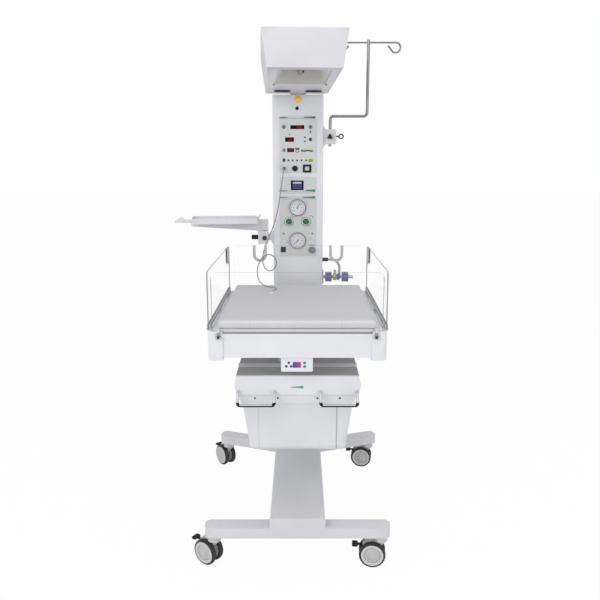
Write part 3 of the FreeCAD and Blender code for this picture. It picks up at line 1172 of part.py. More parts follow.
# Skin probe: plug in the control panel, thin lead that loops through the rear notch, disc on the mattress
PROBE_ROUTE = [
    (-63, 796, 1461), (-64, 780, 1457), (-66, 771, 1438), (-72, 775, 1400), (-80, 782, 1350),
    (-88, 788, 1295), (-100, 792, 1240), (-118, 795, 1188), (-138, 797, 1142), (-154, 795, 1103),
    (-162, 783, 1071), (-162, 766, 1040), (-150, 753, 1012), (-128, 744, 1003), (-104, 739, 1017),
    (-95, 735, 1046), (-106, 732, 1073), (-130, 729, 1084), (-155, 727, 1076), (-173, 724, 1054),
    (-183, 721, 1024), (-184, 716, 990), (-174, 706, 962), (-152, 690, 947), (-122, 672, 943.9),
    (-96, 650, 943.9), (-92, 618, 943.9), (-112, 592, 943.9), (-112, 560, 943.9),
]


def make_probe():
    face = size("column_front") - size("panel_sheet")
    x = size("probe_x")
    z = size("switch_row")
    body = rod("Y", "probe_x", "column_front - panel_sheet - 18", "switch_row", "6.5", "18")
    neck = rod("Y", "probe_x", "column_front - panel_sheet", "switch_row", "4", "8")
    tail = taper("Y", "probe_x", "796", "switch_row", "2.6", "5", "column_front - panel_sheet - 18 - 796")
    keep("probe_plug", fuse(body, neck, tail))
    lead, length, radii = tube(PROBE_ROUTE, size("probe_radius"))
    section = math.pi * size("probe_radius") ** 2
    print("probe lead length %.0f, volume check %.4f" % (length, lead.Shape.Volume / (section * length)))
    print("probe lead radii", [round(r) for r in radii])
    keep("probe_lead", lead)
    tip_x, tip_y, tip_z = PROBE_ROUTE[-1]
    disc = rod("Z", tip_x, tip_y - 9, "deck_high + 0.3 + mattress_thick + 0.2", "9", "4.5")
    keep("probe_tip", disc)


make_base()
for tag, x, y, turn in (
        ("front_left", -size("front_stem_x"), size("base_front") + size("leg_depth") / 2, -35),
        ("front_right", size("front_stem_x"), size("base_front") + size("leg_depth") / 2, -5),
        ("rear_left", -size("rear_stem_x"), size("rear_stem_y"), -52),
        ("rear_right", size("rear_stem_x"), size("rear_stem_y"), -8)):
    make_castor(tag, x, y, turn)
make_column()
make_modules()
make_hood()
make_bed()
make_cabinet()
make_accessories()
make_gas()
make_probe()
doc.recompute()

faults = [item.Name for item in doc.Objects if "Invalid" in item.State or "Error" in item.State]
for label, item in PARTS.items():
    if item.Shape.isNull() or not item.Shape.isValid() or not item.Shape.Solids:
        faults.append(label)
if faults:
    raise RuntimeError("failed: " + ", ".join(faults))

os.makedirs("parts", exist_ok=True)
for label, item in PARTS.items():
    item.Shape.exportStep("parts/%s.step" % label)
whole = Part.makeCompound([item.Shape for item in PARTS.values()])
box = whole.BoundBox
print("%d nodes, box x %.1f to %.1f, y %.1f to %.1f, z %.1f to %.1f"
      % (len(PARTS), box.XMin, box.XMax, box.YMin, box.YMax, box.ZMin, box.ZMax))
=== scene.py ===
"""Visible pieces, finishes and stage of an open infant care bed with a heater hood."""

import json

import bmesh
import bpy
import numpy as np
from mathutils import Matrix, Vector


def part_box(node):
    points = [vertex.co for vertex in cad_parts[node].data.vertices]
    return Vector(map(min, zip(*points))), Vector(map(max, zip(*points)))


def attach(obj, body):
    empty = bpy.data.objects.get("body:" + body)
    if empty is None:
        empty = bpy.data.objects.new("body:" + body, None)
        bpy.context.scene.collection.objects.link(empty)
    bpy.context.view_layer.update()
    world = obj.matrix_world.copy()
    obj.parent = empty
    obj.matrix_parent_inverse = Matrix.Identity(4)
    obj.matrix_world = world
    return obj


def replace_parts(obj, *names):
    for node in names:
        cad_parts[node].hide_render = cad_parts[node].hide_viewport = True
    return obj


bl_info = {
    "name": "Infant warmer dressing",
    "version": (1, 0, 0),
    "blender": (4, 5, 0),
    "location": "View3D > Sidebar > Warmer",
    "description": "Adds the visible pieces of an infant warmer to its packed frame",
    "category": "Object",
}

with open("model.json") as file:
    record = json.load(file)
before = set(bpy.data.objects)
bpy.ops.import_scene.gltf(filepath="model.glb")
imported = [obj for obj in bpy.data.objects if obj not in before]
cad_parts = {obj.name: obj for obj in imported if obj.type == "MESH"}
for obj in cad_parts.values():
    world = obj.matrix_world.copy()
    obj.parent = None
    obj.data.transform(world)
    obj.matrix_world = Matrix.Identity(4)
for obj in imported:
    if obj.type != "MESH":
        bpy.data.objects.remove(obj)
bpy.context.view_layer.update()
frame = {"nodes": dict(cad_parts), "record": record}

# Drawing millimetres to frame metres: the drawing has the column's centre plane at x 0
# and the front castors' floor contact at y 0
DRAWING_ORIGIN = np.array([54.0, -476.0, 0.0])
PANEL_FACE = 822.0

PROBE_ROUTE = [
    (-63, 796, 1461), (-64, 780, 1457), (-66, 771, 1438), (-72, 775, 1400), (-80, 782, 1350),
    (-88, 788, 1295), (-100, 792, 1240), (-118, 795, 1188), (-138, 797, 1142), (-154, 795, 1103),
    (-162, 783, 1071), (-162, 766, 1040), (-150, 753, 1012), (-128, 744, 1003), (-104, 739, 1017),
    (-95, 735, 1046), (-106, 732, 1073), (-130, 729, 1084), (-155, 727, 1076), (-173, 724, 1054),
    (-183, 721, 1024), (-184, 716, 990), (-174, 706, 962), (-152, 690, 947), (-122, 672, 943.9),
    (-96, 650, 943.9), (-92, 618, 943.9), (-112, 592, 943.9), (-112, 560, 943.9),
]

CASTORS = {"front_left": (-312, 26, -35), "front_right": (312, 26, -5), "rear_left": (-346, 850, -52),
           "rear_right": (346, 850, -8)}


def to_frame(points):
    """Drawing millimetres as frame metres."""
    return (np.asarray(points, float) + DRAWING_ORIGIN) / 1000.0


# Surfaces

def linked(name, data):
    """A new object of some data, in the scene."""
    item = bpy.data.objects.new(name, data)
    bpy.context.scene.collection.objects.link(item)
    return item


def placed(name, mesh, body, finish=None):
    """A mesh as a piece with its finish, riding on a body."""
    piece = linked(name, mesh)
    if finish:
        mesh.materials.clear()
        mesh.materials.append(finishes[finish])
    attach(piece, body)
    return piece


def mesh_piece(name, points, faces, body, finish=None):
    """A smooth piece from points in drawing millimetres."""
    mesh = bpy.data.meshes.new(name)
    mesh.from_pydata(to_frame(points).tolist(), [], faces)
    mesh.update()
    mesh.shade_smooth()
    return placed(name, mesh, body, finish)


def read_points(mesh):
    """The points of a mesh as rows, in frame metres."""
    co = np.zeros(len(mesh.vertices) * 3)
    mesh.vertices.foreach_get("co", co)
    return co.reshape(-1, 3)


def write_points(mesh, points):
    """Sets the points of a mesh from rows in drawing millimetres."""
    mesh.vertices.foreach_set("co", to_frame(points).ravel())


def remade(node, finish, body, change, flat=False, sharp=28.0):
    """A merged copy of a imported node, whose points in drawing millimetres are moved by a rule."""
    shape = bmesh.new()
    shape.from_mesh(frame["nodes"][node].data)
    bmesh.ops.remove_doubles(shape, verts=shape.verts, dist=0.00001)
    mesh = bpy.data.meshes.new(node + "_cover")
    shape.to_mesh(mesh)
    shape.free()
    write_points(mesh, change(read_points(mesh) * 1000.0 - DRAWING_ORIGIN))
    mesh.update()
    if flat:
        mesh.shade_flat()
    else:
        mesh.shade_smooth()
        mesh.set_sharp_from_angle(angle=np.radians(sharp))
    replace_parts(placed(node + "_cover", mesh, body, finish), node)


def ring_faces(rings, count, closed_rings=False):
    """Quads between neighbouring rings of count points each, with caps unless the rings close."""
    index = np.arange(rings * count).reshape(rings, count)
    if closed_rings:
        index = np.vstack([index, index[:1]])
    side = np.roll(index, -1, axis=1)
    quads = np.stack([index[:-1], side[:-1], side[1:], index[1:]], axis=-1).reshape(-1, 4).tolist()
    if not closed_rings:
        quads.append(index[0][::-1].tolist())
        quads.append(index[-1].tolist())
    return quads


def merged(parts):
    """Several (points, faces) pairs as one pair."""
    points, faces, start = [], [], 0
    for some, quads in parts:
        points.append(np.asarray(some, float))
        faces += [[start + i for i in quad] for quad in quads]
        start += len(some)
    return np.vstack(points), faces


def rounded_outline(width, height, radius, steps=6):
    """A rectangle with quarter-circle corners: corner centre plus radius times (cos, sin) of the angle."""
    radius = max(min(radius, width / 2 - 1e-3, height / 2 - 1e-3), 1e-3)
    angle = np.linspace(0, np.pi / 2, steps)
    corners = [(1, 1), (-1, 1), (-1, -1), (1, -1)]
    parts = []
    for turn, (sx, sy) in enumerate(corners):
        a = angle + turn * np.pi / 2
        parts.append(np.stack([sx * (width / 2 - radius) + radius * np.cos(a),
                               sy * (height / 2 - radius) + radius * np.sin(a)], axis=1))
    return np.vstack(parts)


def facing(points, normal):
    """Points drawn as (across, up, out) turned so that out is along the named direction."""
    across, up, out = points[:, 0], points[:, 1], points[:, 2]
    places = {"-Y": (across, -out, up), "-Z": (across, -up, -out), "+Y": (-across, out, up),
              "+Z": (across, up, out)}
    return np.stack(places[normal], axis=1)


def plate(width, height, radius, rings, normal="-Y", centre=(0, 0, 0), steps=6):
    """A rounded plate: its outline, drawn in by each ring's inset, stands at each ring's height."""
    loops = []
    for inset, out in rings:
        loop = rounded_outline(width - 2 * inset, height - 2 * inset, radius - inset, steps)
        loops.append(np.column_stack([loop, np.full(len(loop), out)]))
    points = facing(np.vstack(loops), normal) + np.asarray(centre, float)
    return points, ring_faces(len(rings), len(loops[0]))


def soft_rings(depth, edge, foot=0.0):
    """Insets and heights of a plate's side and rounded front edge: a quarter circle of the edge's radius."""
    angle = np.linspace(0, np.pi / 2, 5)
    return [(0.0, foot)] + [(edge * (1 - np.cos(a)), depth - edge + edge * np.sin(a)) for a in angle]


def turned(profile, normal="-Y", centre=(0, 0, 0), count=48, closed=False):
    """A profile of (radius, out) spun about the named direction. A closed profile makes a ring."""
    angle = np.linspace(0, 2 * np.pi, count, endpoint=False)
    profile = np.asarray(profile, float)
    radius = np.maximum(profile[:, :1], 0.02)
    points = np.stack([radius * np.cos(angle), radius * np.sin(angle),
                       np.repeat(profile[:, 1:], count, axis=1)], axis=-1).reshape(-1, 3)
    return facing(points, normal) + np.asarray(centre, float), ring_faces(len(profile), count, closed)


def yawed(points, angle, stem):
    """Points turned about the vertical by an angle in degrees and carried to a stem."""
    c, s = np.cos(np.radians(angle)), np.sin(np.radians(angle))
    x, y, z = np.asarray(points, float).T
    return np.stack([c * x - s * y + stem[0], s * x + c * y + stem[1], z], axis=1)


def bars(lines, width, height, face, normal="-Y"):
    """Flat bars along many lines at once: each line is (x0, z0, x1, z1), given a half width to both sides."""
    lines = np.asarray(lines, float)
    start, end = lines[:, :2], lines[:, 2:]
    along = end - start
    along /= np.linalg.norm(along, axis=1, keepdims=True)
    side = np.stack([-along[:, 1], along[:, 0]], axis=1) * np.asarray(width, float).reshape(-1, 1) / 2
    flat = np.stack([start - side, end - side, end + side, start + side], axis=1)
    base = np.concatenate([flat, np.zeros((len(lines), 4, 1))], axis=2)
    lifted = np.concatenate([flat, np.full((len(lines), 4, 1), height)], axis=2)
    points = np.concatenate([base, lifted], axis=1).reshape(-1, 3)
    cell = np.array([[0, 3, 2, 1], [4, 5, 6, 7], [0, 1, 5, 4], [1, 2, 6, 5], [2, 3, 7, 6], [3, 0, 4, 7]])
    faces = (np.arange(len(lines))[:, None, None] * 8 + cell[None]).reshape(-1, 4).tolist()
    return facing(points, normal) + np.array([0, face, 0]), faces


# Materials

def shade(colour, share):
    """A colour with each component times a share."""
    return tuple(c * share for c in colour)


class Finish:
    """A material whose colour, roughness and relief come from patterns on object coordinates."""

    def __init__(self, colour, rough, metallic=0.0):
        self.material = bpy.data.materials.new("finish")
        self.material.use_nodes = True
        self.tree = self.material.node_tree
        self.shader = self.tree.nodes["Principled BSDF"]
        spots = self.node("ShaderNodeTexCoord").outputs
        self.place = spots["Object"]
        self.normal = spots["Normal"]
        self.colour = colour
        self.shader.inputs["Base Color"].default_value = (*colour, 1)
        self.shader.inputs["Roughness"].default_value = rough
        self.shader.inputs["Metallic"].default_value = metallic
        self.material.diffuse_color = (*colour, 1)

    def node(self, kind, **values):
        made = self.tree.nodes.new(kind)
        for key, value in values.items():
            if hasattr(made, key):
                setattr(made, key, value)
            else:
                made.inputs[key.replace("_", " ")].default_value = value
        return made

    def link(self, source, target):
        self.tree.links.new(source, target)

    def stretched(self, scale):
        """Object coordinates with each axis scaled."""
        mapping = self.node("ShaderNodeMapping")
        mapping.inputs["Scale"].default_value = scale
        self.link(self.place, mapping.inputs["Vector"])
        return mapping.outputs["Vector"]

    def noise(self, scale, detail=3.0, stretch=None):
        texture = self.node("ShaderNodeTexNoise", Scale=scale, Detail=detail)
        self.link(self.stretched(stretch) if stretch else self.place, texture.inputs["Vector"])
        return texture.outputs["Fac"]

    def ranged(self, source, low, high, ends="To"):
        """0 to 1 mapped to two values, or with the ends "From" two values mapped to 0 to 1."""
        node = self.node("ShaderNodeMapRange")
        node.inputs[ends + " Min"].default_value = low
        node.inputs[ends + " Max"].default_value = high
        self.link(source, node.inputs["Value"])
        return node.outputs["Result"]

    def math(self, operation, *values):
        """What a math node makes of sockets and numbers."""
        node = self.node("ShaderNodeMath", operation=operation)
        for value, target in zip(values, node.inputs):
            if isinstance(value, float):
                target.default_value = value
            else:
                self.link(value, target)
        return node.outputs[0]

    def mottle(self, source, share, low=0.3, high=0.7):
        """Mixes the base colour towards another, or towards a share of itself, where the pattern is high."""
        mix = self.node("ShaderNodeMix", data_type="RGBA")
        mix.inputs["A"].default_value = (*self.colour, 1)
        other = share if isinstance(share, tuple) else shade(self.colour, share)
        mix.inputs["B"].default_value = (*other, 1)
        self.link(self.ranged(source, low, high, "From"), mix.inputs["Factor"])
        self.link(mix.outputs["Result"], self.shader.inputs["Base Color"])

    def coordinate(self, axis, place=None):
        """One component of the object coordinates, or of another vector."""
        split = self.node("ShaderNodeSeparateXYZ")
        self.link(place or self.place, split.inputs["Vector"])
        return split.outputs[axis]

    def within(self, axis, low, high):
        """1 where a drawing coordinate lies between two values, 0 elsewhere."""
        origin = DRAWING_ORIGIN["XYZ".index(axis)]
        middle = (low + high) / 2 + origin
        return self.math("COMPARE", self.coordinate(axis), middle / 1000, (high - low) / 2000)

    def paint(self, mask, colour):
        """Lays another colour over the surface where a mask is 1."""
        socket = self.shader.inputs["Base Color"]
        mix = self.node("ShaderNodeMix", data_type="RGBA")
        self.link(socket.links[0].from_socket, mix.inputs["A"])
        mix.inputs["B"].default_value = (*colour, 1)
        self.link(mask, mix.inputs["Factor"])
        self.link(mix.outputs["Result"], socket)

    def patch(self, patches):
        """Lays colours over boxes of the drawing, each box given by its limits along some axes."""
        for colour, limits in patches:
            mask = None
            for axis, (low, high) in limits.items():
                side = self.within(axis, low, high)
                mask = side if mask is None else self.math("MULTIPLY", mask, side)
            self.paint(mask, colour)

    def turned_to(self, axis, start, end):
        """0 to 1 as the normal's component along an axis goes from a start to an end value."""
        return self.ranged(self.coordinate(axis, self.normal), start, end, "From")

    def roughen(self, source, low, high):
        self.link(self.ranged(source, low, high), self.shader.inputs["Roughness"])

    def relief(self, source, strength, distance):
        bump = self.node("ShaderNodeBump", Strength=strength, Distance=distance)
        self.link(source, bump.inputs["Height"])
        self.link(bump.outputs["Normal"], self.shader.inputs["Normal"])


def painted(colour, rough=0.32, peel=500.0, lift=0.00006, dust=0.94, patches=()):
    """Powder-coated or moulded shell: orange-peel relief, faint dust, uneven gloss and coloured patches."""
    f = Finish(colour, rough)
    f.mottle(f.noise(7.0, 5.0), dust)
    f.patch(patches)
    f.roughen(f.noise(35.0, 4.0), rough - 0.06, rough + 0.10)
    f.relief(f.noise(peel, 2.0), 0.25, lift)
    return f.material


def brushed(colour, stretch, rough=0.3, metallic=1.0):
    """Brushed metal: fine lines drawn out along one axis vary the tone, gloss and relief."""
    f = Finish(colour, rough, metallic)
    lines = f.noise(9.0, 6.0, stretch)
    f.mottle(lines, 0.86)
    f.roughen(lines, rough - 0.08, rough + 0.14)
    f.relief(lines, 0.12, 0.00004)
    return f.material


def polished(colour, rough=0.08, metallic=1.0, patches=(), lower=None):
    """Bright plated metal with faint smears, patches and, if given, painted shade that darkens the handles'
    faces turned down or sideways.
    """
    f = Finish(colour, rough, metallic)
    f.mottle(f.noise(18.0, 4.0), 0.9)
    if lower:
        # painted shade: on the handles, faces turned down or sideways are painted nearly black and only their
        # tops keep the metal colour
        f.paint(f.math("MULTIPLY", f.turned_to("Z", 0.42, 0.22), f.within("Z", 600.0, 631.0)), lower)
    f.patch(patches)
    f.roughen(f.noise(45.0, 5.0), rough * 0.6, rough * 2.2)
    return f.material


def grained(colour, rough=0.55, scale=1400.0, lift=0.00008, pale=1.25, metallic=0.0, patches=(),
            gloss=0.5):
    """Moulded plastic or rubber with a fine spark-eroded grain and coloured patches."""
    f = Finish(colour, rough, metallic)
    f.shader.inputs["Specular IOR Level"].default_value = gloss
    grain = f.noise(scale, 3.0)
    f.mottle(grain, tuple(min(c * pale + 0.004, 1.0) for c in colour), 0.35, 0.75)
    f.patch(patches)
    f.roughen(f.noise(60.0, 4.0), rough - 0.08, rough + 0.12)
    f.relief(grain, 0.35, lift)
    return f.material


def clear_sheet(colour, across=None, veil=0.13, rims=()):
    """Clear acrylic: a thin veil with fine wipe marks, and denser cut edges beside the face's axis."""
    f = Finish(colour, 0.04)
    f.roughen(f.noise(30.0, 5.0), 0.02, 0.09)
    f.mottle(f.noise(12.0, 3.0), 0.96)
    f.shader.inputs["Alpha"].default_value = veil
    if across:
        facing_out = f.math("ABSOLUTE", f.coordinate(across, f.normal))
        edge = f.ranged(facing_out, 0.85, veil)
        for axis, low, high in rims:
            band = f.within(axis, low, high)
            edge = f.math("MAXIMUM", edge, f.ranged(band, 0.0, 0.45))
            f.paint(band, (0.35, 0.355, 0.34))
        f.link(edge, f.shader.inputs["Alpha"])
        f.paint(f.ranged(facing_out, 1.0, 0.0), (0.24, 0.245, 0.225))
    return f.material


def covered_foam(colour, seams=()):
    """Coated cloth: a fine basket weave from two crossed waves, soft creases, seams, a little sheen and
    painted shade on its upward faces.
    """
    f = Finish(colour, 0.62)
    threads = []
    for way in "XY":
        wave = f.node("ShaderNodeTexWave", Scale=420.0, Distortion=0.4, bands_direction=way)
        f.link(f.place, wave.inputs["Vector"])
        threads.append(wave.outputs["Fac"])
    weave = f.math("MAXIMUM", *threads)
    f.mottle(f.noise(11.0, 5.0), 0.95)
    # painted shade: faces turned upwards are painted darker than the sides
    f.paint(f.turned_to("Z", 0.35, 0.75), shade(colour, 0.71))
    f.patch([(shade(colour, 0.75), {"X": (x - 0.9, x + 0.9), "Z": (900.0, 937.0)}) for x in seams])
    f.roughen(f.noise(80.0, 3.0), 0.52, 0.74)
    f.relief(f.math("MULTIPLY_ADD", f.noise(16.0, 5.0), 5.0, weave), 0.3, 0.00025)
    f.shader.inputs["Sheen Weight"].default_value = 0.15
    return f.material


def glowing(colour, strength):
    """A lit display segment behind tinted plastic."""
    f = Finish(colour, 0.25)
    f.mottle(f.noise(500.0, 2.0), 0.8)
    f.shader.inputs["Emission Color"].default_value = (*colour, 1)
    f.shader.inputs["Emission Strength"].default_value = strength
    return f.material


def ink(colour, pale=1.1):
    """A printed area."""
    return grained(colour, 0.5, 700.0, 0.00002, pale)


def cap(colour, rough=0.45, pale=1.1, lift=0.00003, gloss=0.5):
    """A key or knob of fine-grained plastic."""
    return grained(colour, rough, 900.0, lift, pale, gloss=gloss)


BLACK = (0.02, 0.02, 0.023)
DARK_GREY = (0.08, 0.08, 0.085)
SHEET = (0.93, 0.94, 0.94)

finishes = {}

# Nodes with a finish of their own
NODE_FINISHES = {
    "hood_shell": "hood_white", "front_clips": "front_bar", "rail_clamps": "clamp_white",
    "gas_manifold": "gas_bodies", "rocker_switch": "rocker_grey", "side_panel_left": "side_sheet",
    "side_panel_right": "side_sheet", "front_panel": "end_sheet", "rear_panel": "end_sheet",
    "drawer_handles": "handle_metal", "cabinet_top_plate": "tray_steel",
    "probe_plug": "plug_slate", "shelf": "shelf_white", "column_back_cover": "white_plastic",
}


def make_finishes():
    finishes.update(
        white_paint=painted((0.745, 0.745, 0.80), 0.36),
        base_paint=painted((0.66, 0.66, 0.70), 0.36, 420.0),
        panel_plastic=painted((0.61, 0.62, 0.63), 0.42, 900.0, 0.00004),
        white_plastic=painted((0.77, 0.77, 0.825), 0.34, 700.0),
        # painted shade: a darker copy of the white plastic for the hood, which gets less light
        hood_white=painted((0.69, 0.69, 0.73), 0.36, 600.0),
        shelf_white=painted((0.70, 0.70, 0.745), 0.36, 600.0),
        bin_plastic=painted((0.72, 0.725, 0.76), 0.38, 600.0, patches=(
            # the two narrow bands are painted shade in the bin's vertical grooves, the right one darker than
            # the left
            ((0.42, 0.42, 0.43), {"X": (144.0, 149.0), "Y": (90.0, 130.0), "Z": (425.0, 606.0)}),
            ((0.62, 0.62, 0.64), {"X": (-149.0, -144.0), "Y": (90.0, 130.0), "Z": (425.0, 606.0)}))),
        side_sheet=clear_sheet(SHEET, "X", 0.07),
        end_sheet=clear_sheet(SHEET, "Y", 0.02, (("X", -303.5, -300.5), ("X", 300.5, 303.5))),
        gauge_glass=clear_sheet((0.95, 0.95, 0.96), None, 0.07),
        grey_trim=grained((0.42, 0.43, 0.44), 0.55, 900.0),
        front_bar=grained((0.25, 0.25, 0.255), 0.5, 900.0, patches=(
            ((0.62, 0.62, 0.64), {"Z": (904.6, 930.0)}), *[
                (BLACK, {"X": (x - 67.5, x + 67.5), "Z": (850.0, 893.0)}) for x in (-332.5, 332.5)])),
        mattress_cover=covered_foam((0.72, 0.72, 0.755), (-170.0, 158.5)),
        stainless=brushed((0.62, 0.61, 0.60), (1.0, 60.0, 60.0)),
        tray_steel=brushed((0.62, 0.61, 0.59), (1.0, 60.0, 60.0), 0.45, 0.35),
        chrome=polished((0.72, 0.72, 0.74)),
        # the last colour of the handle metal is painted shade for the handles' faces turned down or sideways
        handle_metal=polished((0.70, 0.70, 0.72), 0.3, 0.6, (
            (BLACK, {"X": (x - 8.0, x + 8.0), "Z": (600.0, 634.0)}) for x in (-219.0, -85.0, 85.0, 219.0)),
            (0.05, 0.05, 0.055)),
        dark_rod=polished((0.30, 0.30, 0.315), 0.22),
        clamp_white=painted((0.70, 0.70, 0.74), 0.36, patches=(
            (BLACK, {"X": (-167.0, -143.0), "Y": (815.0, 828.9), "Z": (1134.0, 1158.0)}),
            (DARK_GREY, {"X": (-215.0, -185.1), "Z": (1140.0, 1152.0)}),
            (DARK_GREY, {"X": (135.0, 151.0), "Y": (800.0, 828.9)}),
            (BLACK, {"X": (172.2, 215.0), "Z": (1585.0, 1620.0)}))),
        black_plastic=grained((0.012, 0.012, 0.013), 0.5, gloss=0.2),
        rocker_grey=grained((0.05, 0.05, 0.055), 0.4, 900.0, 0.00004, 1.1, patches=(
            ((0.55, 0.55, 0.56), {"X": (32.0, 50.0), "Z": (1453.0, 1469.0)}),)),
        plug_slate=cap((0.09, 0.11, 0.13), 0.45, lift=0.00004),
        grey_plastic=grained((0.54, 0.54, 0.545), 0.45, 1100.0, 0.00005, 1.06),
        castor_wheel=grained((0.018, 0.018, 0.019), 0.62, 700.0),
        amber_lens=glowing((0.90, 0.52, 0.09), 0.15),
        green_knob=cap((0.026, 0.127, 0.07), 0.4, lift=0.00004),
        blue_knob=cap((0.115, 0.10, 0.28), 0.4, lift=0.00004),
        reflector_metal=grained((0.72, 0.71, 0.69), 0.36, 300.0, 0.00002, 1.03, 0.75),
        heater_sheath=grained((0.35, 0.33, 0.30), 0.6, 300.0, 0.0002, 1.2),
        dial_white=painted((0.70, 0.69, 0.74), 0.3, 1200.0, 0.00002, 0.97),
        needle_black=grained(BLACK, 0.4),
        gas_bodies=polished((0.55, 0.55, 0.56), 0.3, 0.4, patches=(
            ((0.43, 0.43, 0.08), {"X": (163.0, 181.0), "Z": (930.0, 978.0)}),
            ((0.06, 0.10, 0.35), {"X": (181.5, 197.0), "Z": (930.0, 978.0)}),
            (BLACK, {"Z": (1028.0, 1056.0)}))),
        hose_rubber=grained((0.376, 0.376, 0.385), 0.5, 600.0, pale=1.06),
        lead_grey=grained((0.26, 0.26, 0.28), 0.45, 1500.0, 0.00003, 1.08),
        probe_disc=grained((0.72, 0.68, 0.52), 0.5, 900.0, 0.00005, 1.05),
        hub_plastic=grained((0.58, 0.58, 0.585), 0.4, 800.0, 0.00004, 1.04),
        hub_disc=grained((0.50, 0.50, 0.50), 0.45, 800.0, 0.00004, 1.04),
        window_black=grained((0.006, 0.003, 0.004), 0.4, 500.0, 0.00001, 1.3, gloss=0.08),
        red_figures=glowing((0.305, 0.0, 0.004), 1.0),
        crimson_figures=glowing((0.36, 0.0, 0.028), 1.0),
        teal_print=ink((0.13, 0.36, 0.26)),
        green_print=ink((0.065, 0.24, 0.11)),
        pale_green_print=ink((0.20, 0.26, 0.22), 1.05),
        ring_green=grained((0.60, 0.73, 0.64), 0.45, 700.0, 0.00002, 1.02),
        grey_print=ink((0.24, 0.24, 0.26)),
        dark_ring=ink((0.12, 0.15, 0.16)),
        port_pale=ink((0.42, 0.42, 0.43)),
        key_grey=cap((0.10, 0.155, 0.185)),
        key_teal=cap((0.08, 0.205, 0.223)),
        key_blue=cap((0.021, 0.042, 0.091)),
        key_yellow=cap((0.31, 0.31, 0.04), pale=1.05),
        key_pale=cap((0.62, 0.66, 0.32), pale=1.02),
        key_olive=cap((0.20, 0.20, 0.02)),
        key_dark=cap((0.045, 0.045, 0.05), 0.5, gloss=0.3),
        screen_navy=grained((0.010, 0.010, 0.035), 0.4, 500.0, 0.00001, 1.1, gloss=0.1),
        screen_pale=glowing((0.42, 0.40, 0.62), 0.3),
        screen_blue=glowing((0.045, 0.05, 0.16), 0.3),
        screen_violet=glowing((0.11, 0.05, 0.30), 0.08),
        screen_magenta=glowing((0.38, 0.05, 0.19), 0.08),
        bezel_grey=brushed((0.20, 0.185, 0.20), (60.0, 1.0, 60.0), 0.4),
    )


def dress_nodes():
    """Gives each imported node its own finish, or else that of its slot in the record."""
    for part in frame["record"]["subparts"]:
        node = frame["nodes"][part["node"]]
        chosen = NODE_FINISHES.get(part["node"], part["material_slot"])
        node.data.materials.clear()
        node.data.materials.append(finishes.get(chosen) or finishes["side_sheet"])


# Operators

class WARMER_OT_finishes(bpy.types.Operator):
    """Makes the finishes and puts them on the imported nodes"""
    bl_idname = "warmer.finishes"
    bl_label = "Finishes"

    def execute(self, context):
        make_finishes()
        for name, material in finishes.items():
            material.name = name
        dress_nodes()
        return {"FINISHED"}


class WARMER_OT_probe(bpy.types.Operator):
    """Hangs the skin probe's lead from its socket to the mattress"""
    bl_idname = "warmer.probe"
    bl_label = "Probe lead"

    def execute(self, context):
        route = to_frame(PROBE_ROUTE)
        curve = bpy.data.curves.new("probe_lead_cord", "CURVE")
        curve.dimensions = "3D"
        spline = curve.splines.new("NURBS")
        spline.points.add(len(route) - 1)
        spline.points.foreach_set("co", np.column_stack([route, np.ones(len(route))]).ravel())
        spline.order_u = 3
        spline.use_endpoint_u = True
        spline.resolution_u = 8
        curve.bevel_depth = context.scene.warmer_probe.diameter / 2
        curve.bevel_resolution = 4
        curve.use_fill_caps = True
        curve.materials.append(finishes["lead_grey"])
        lead = linked("probe_lead_cord", curve)
        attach(lead, "root")
        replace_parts(lead, "probe_lead")
        return {"FINISHED"}


class WARMER_OT_mattress(bpy.types.Operator):
    """Fills the mattress cover: a closed form, inflated a little as cloth over its foam"""
    bl_idname = "warmer.mattress"
    bl_label = "Mattress"

    def execute(self, context):
        low, high = (np.array(corner) * 1000.0 - DRAWING_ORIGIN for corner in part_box("mattress"))
        across, length, thick = high - low
        inset = context.scene.warmer_mattress.start_inset * 1000.0
        rings = [(40.0, 0.0), (12.0, 0.0), (3.0, 1.5), (0.0, 7.0), (0.0, thick - 11.0), (2.5, thick - 4.0),
                 (9.0, thick - 0.5), (40.0, thick)]
        rings = [(a + inset, min(max(z, inset * 0.4), thick - inset * 0.4)) for a, z in rings]
        points, faces = plate(across, length, 13.0, rings, "+Z",
                              ((low[0] + high[0]) / 2, (low[1] + high[1]) / 2, low[2]))
        pad = mesh_piece("mattress_pad", points, faces, "bed")
        self.finish_with(pad, "REMESH", mode="VOXEL", voxel_size=0.007)
        self.inflate(context, pad)
        self.finish_with(pad, "SUBSURF", levels=1, render_levels=1)
        self.press_flat(pad, low, high)
        pad.data.materials.append(finishes["mattress_cover"])
        pad.data.shade_smooth()
        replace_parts(pad, "mattress")
        return {"FINISHED"}

    def finish_with(self, pad, kind, **values):
        """Adds one modifier and applies it by taking the evaluated mesh."""
        modifier = pad.modifiers.new(kind.lower(), kind)
        for key, value in values.items():
            setattr(modifier, key, value)
        graph = bpy.context.evaluated_depsgraph_get()
        mesh = bpy.data.meshes.new_from_object(pad.evaluated_get(graph))
        pad.modifiers.clear()
        pad.data = mesh

    def inflate(self, context, pad):
        """Cloth under light pressure for 20 frames, each point then held within the cap of where it began."""
        before = read_points(pad.data)
        cloth = pad.modifiers.new("cover", "CLOTH")
        cloth.settings.use_pressure = True
        cloth.settings.uniform_pressure_force = 4.0
        cloth.settings.effector_weights.gravity = 0.0
        context.scene.frame_end = 20
        for step in range(1, 21):
            context.scene.frame_set(step)
        after = read_points(pad.evaluated_get(context.evaluated_depsgraph_get()).data)
        pad.modifiers.clear()
        context.scene.frame_set(1)
        move = after - before
        far = np.linalg.norm(move, axis=1, keepdims=True)
        cap = context.scene.warmer_mattress.swell
        move *= cap * np.tanh(far / cap) / np.maximum(far, 1e-9)
        pad.data.vertices.foreach_set("co", (before + move).ravel())
        pad.data.update()

    def press_flat(self, pad, low, high):
        """Keeps the pad on its deck and inside its box."""
        co = read_points(pad.data) * 1000.0 - DRAWING_ORIGIN
        co[:, 2] = np.clip(co[:, 2], low[2], high[2] + 1.0)
        write_points(pad.data, co)
        pad.data.update()


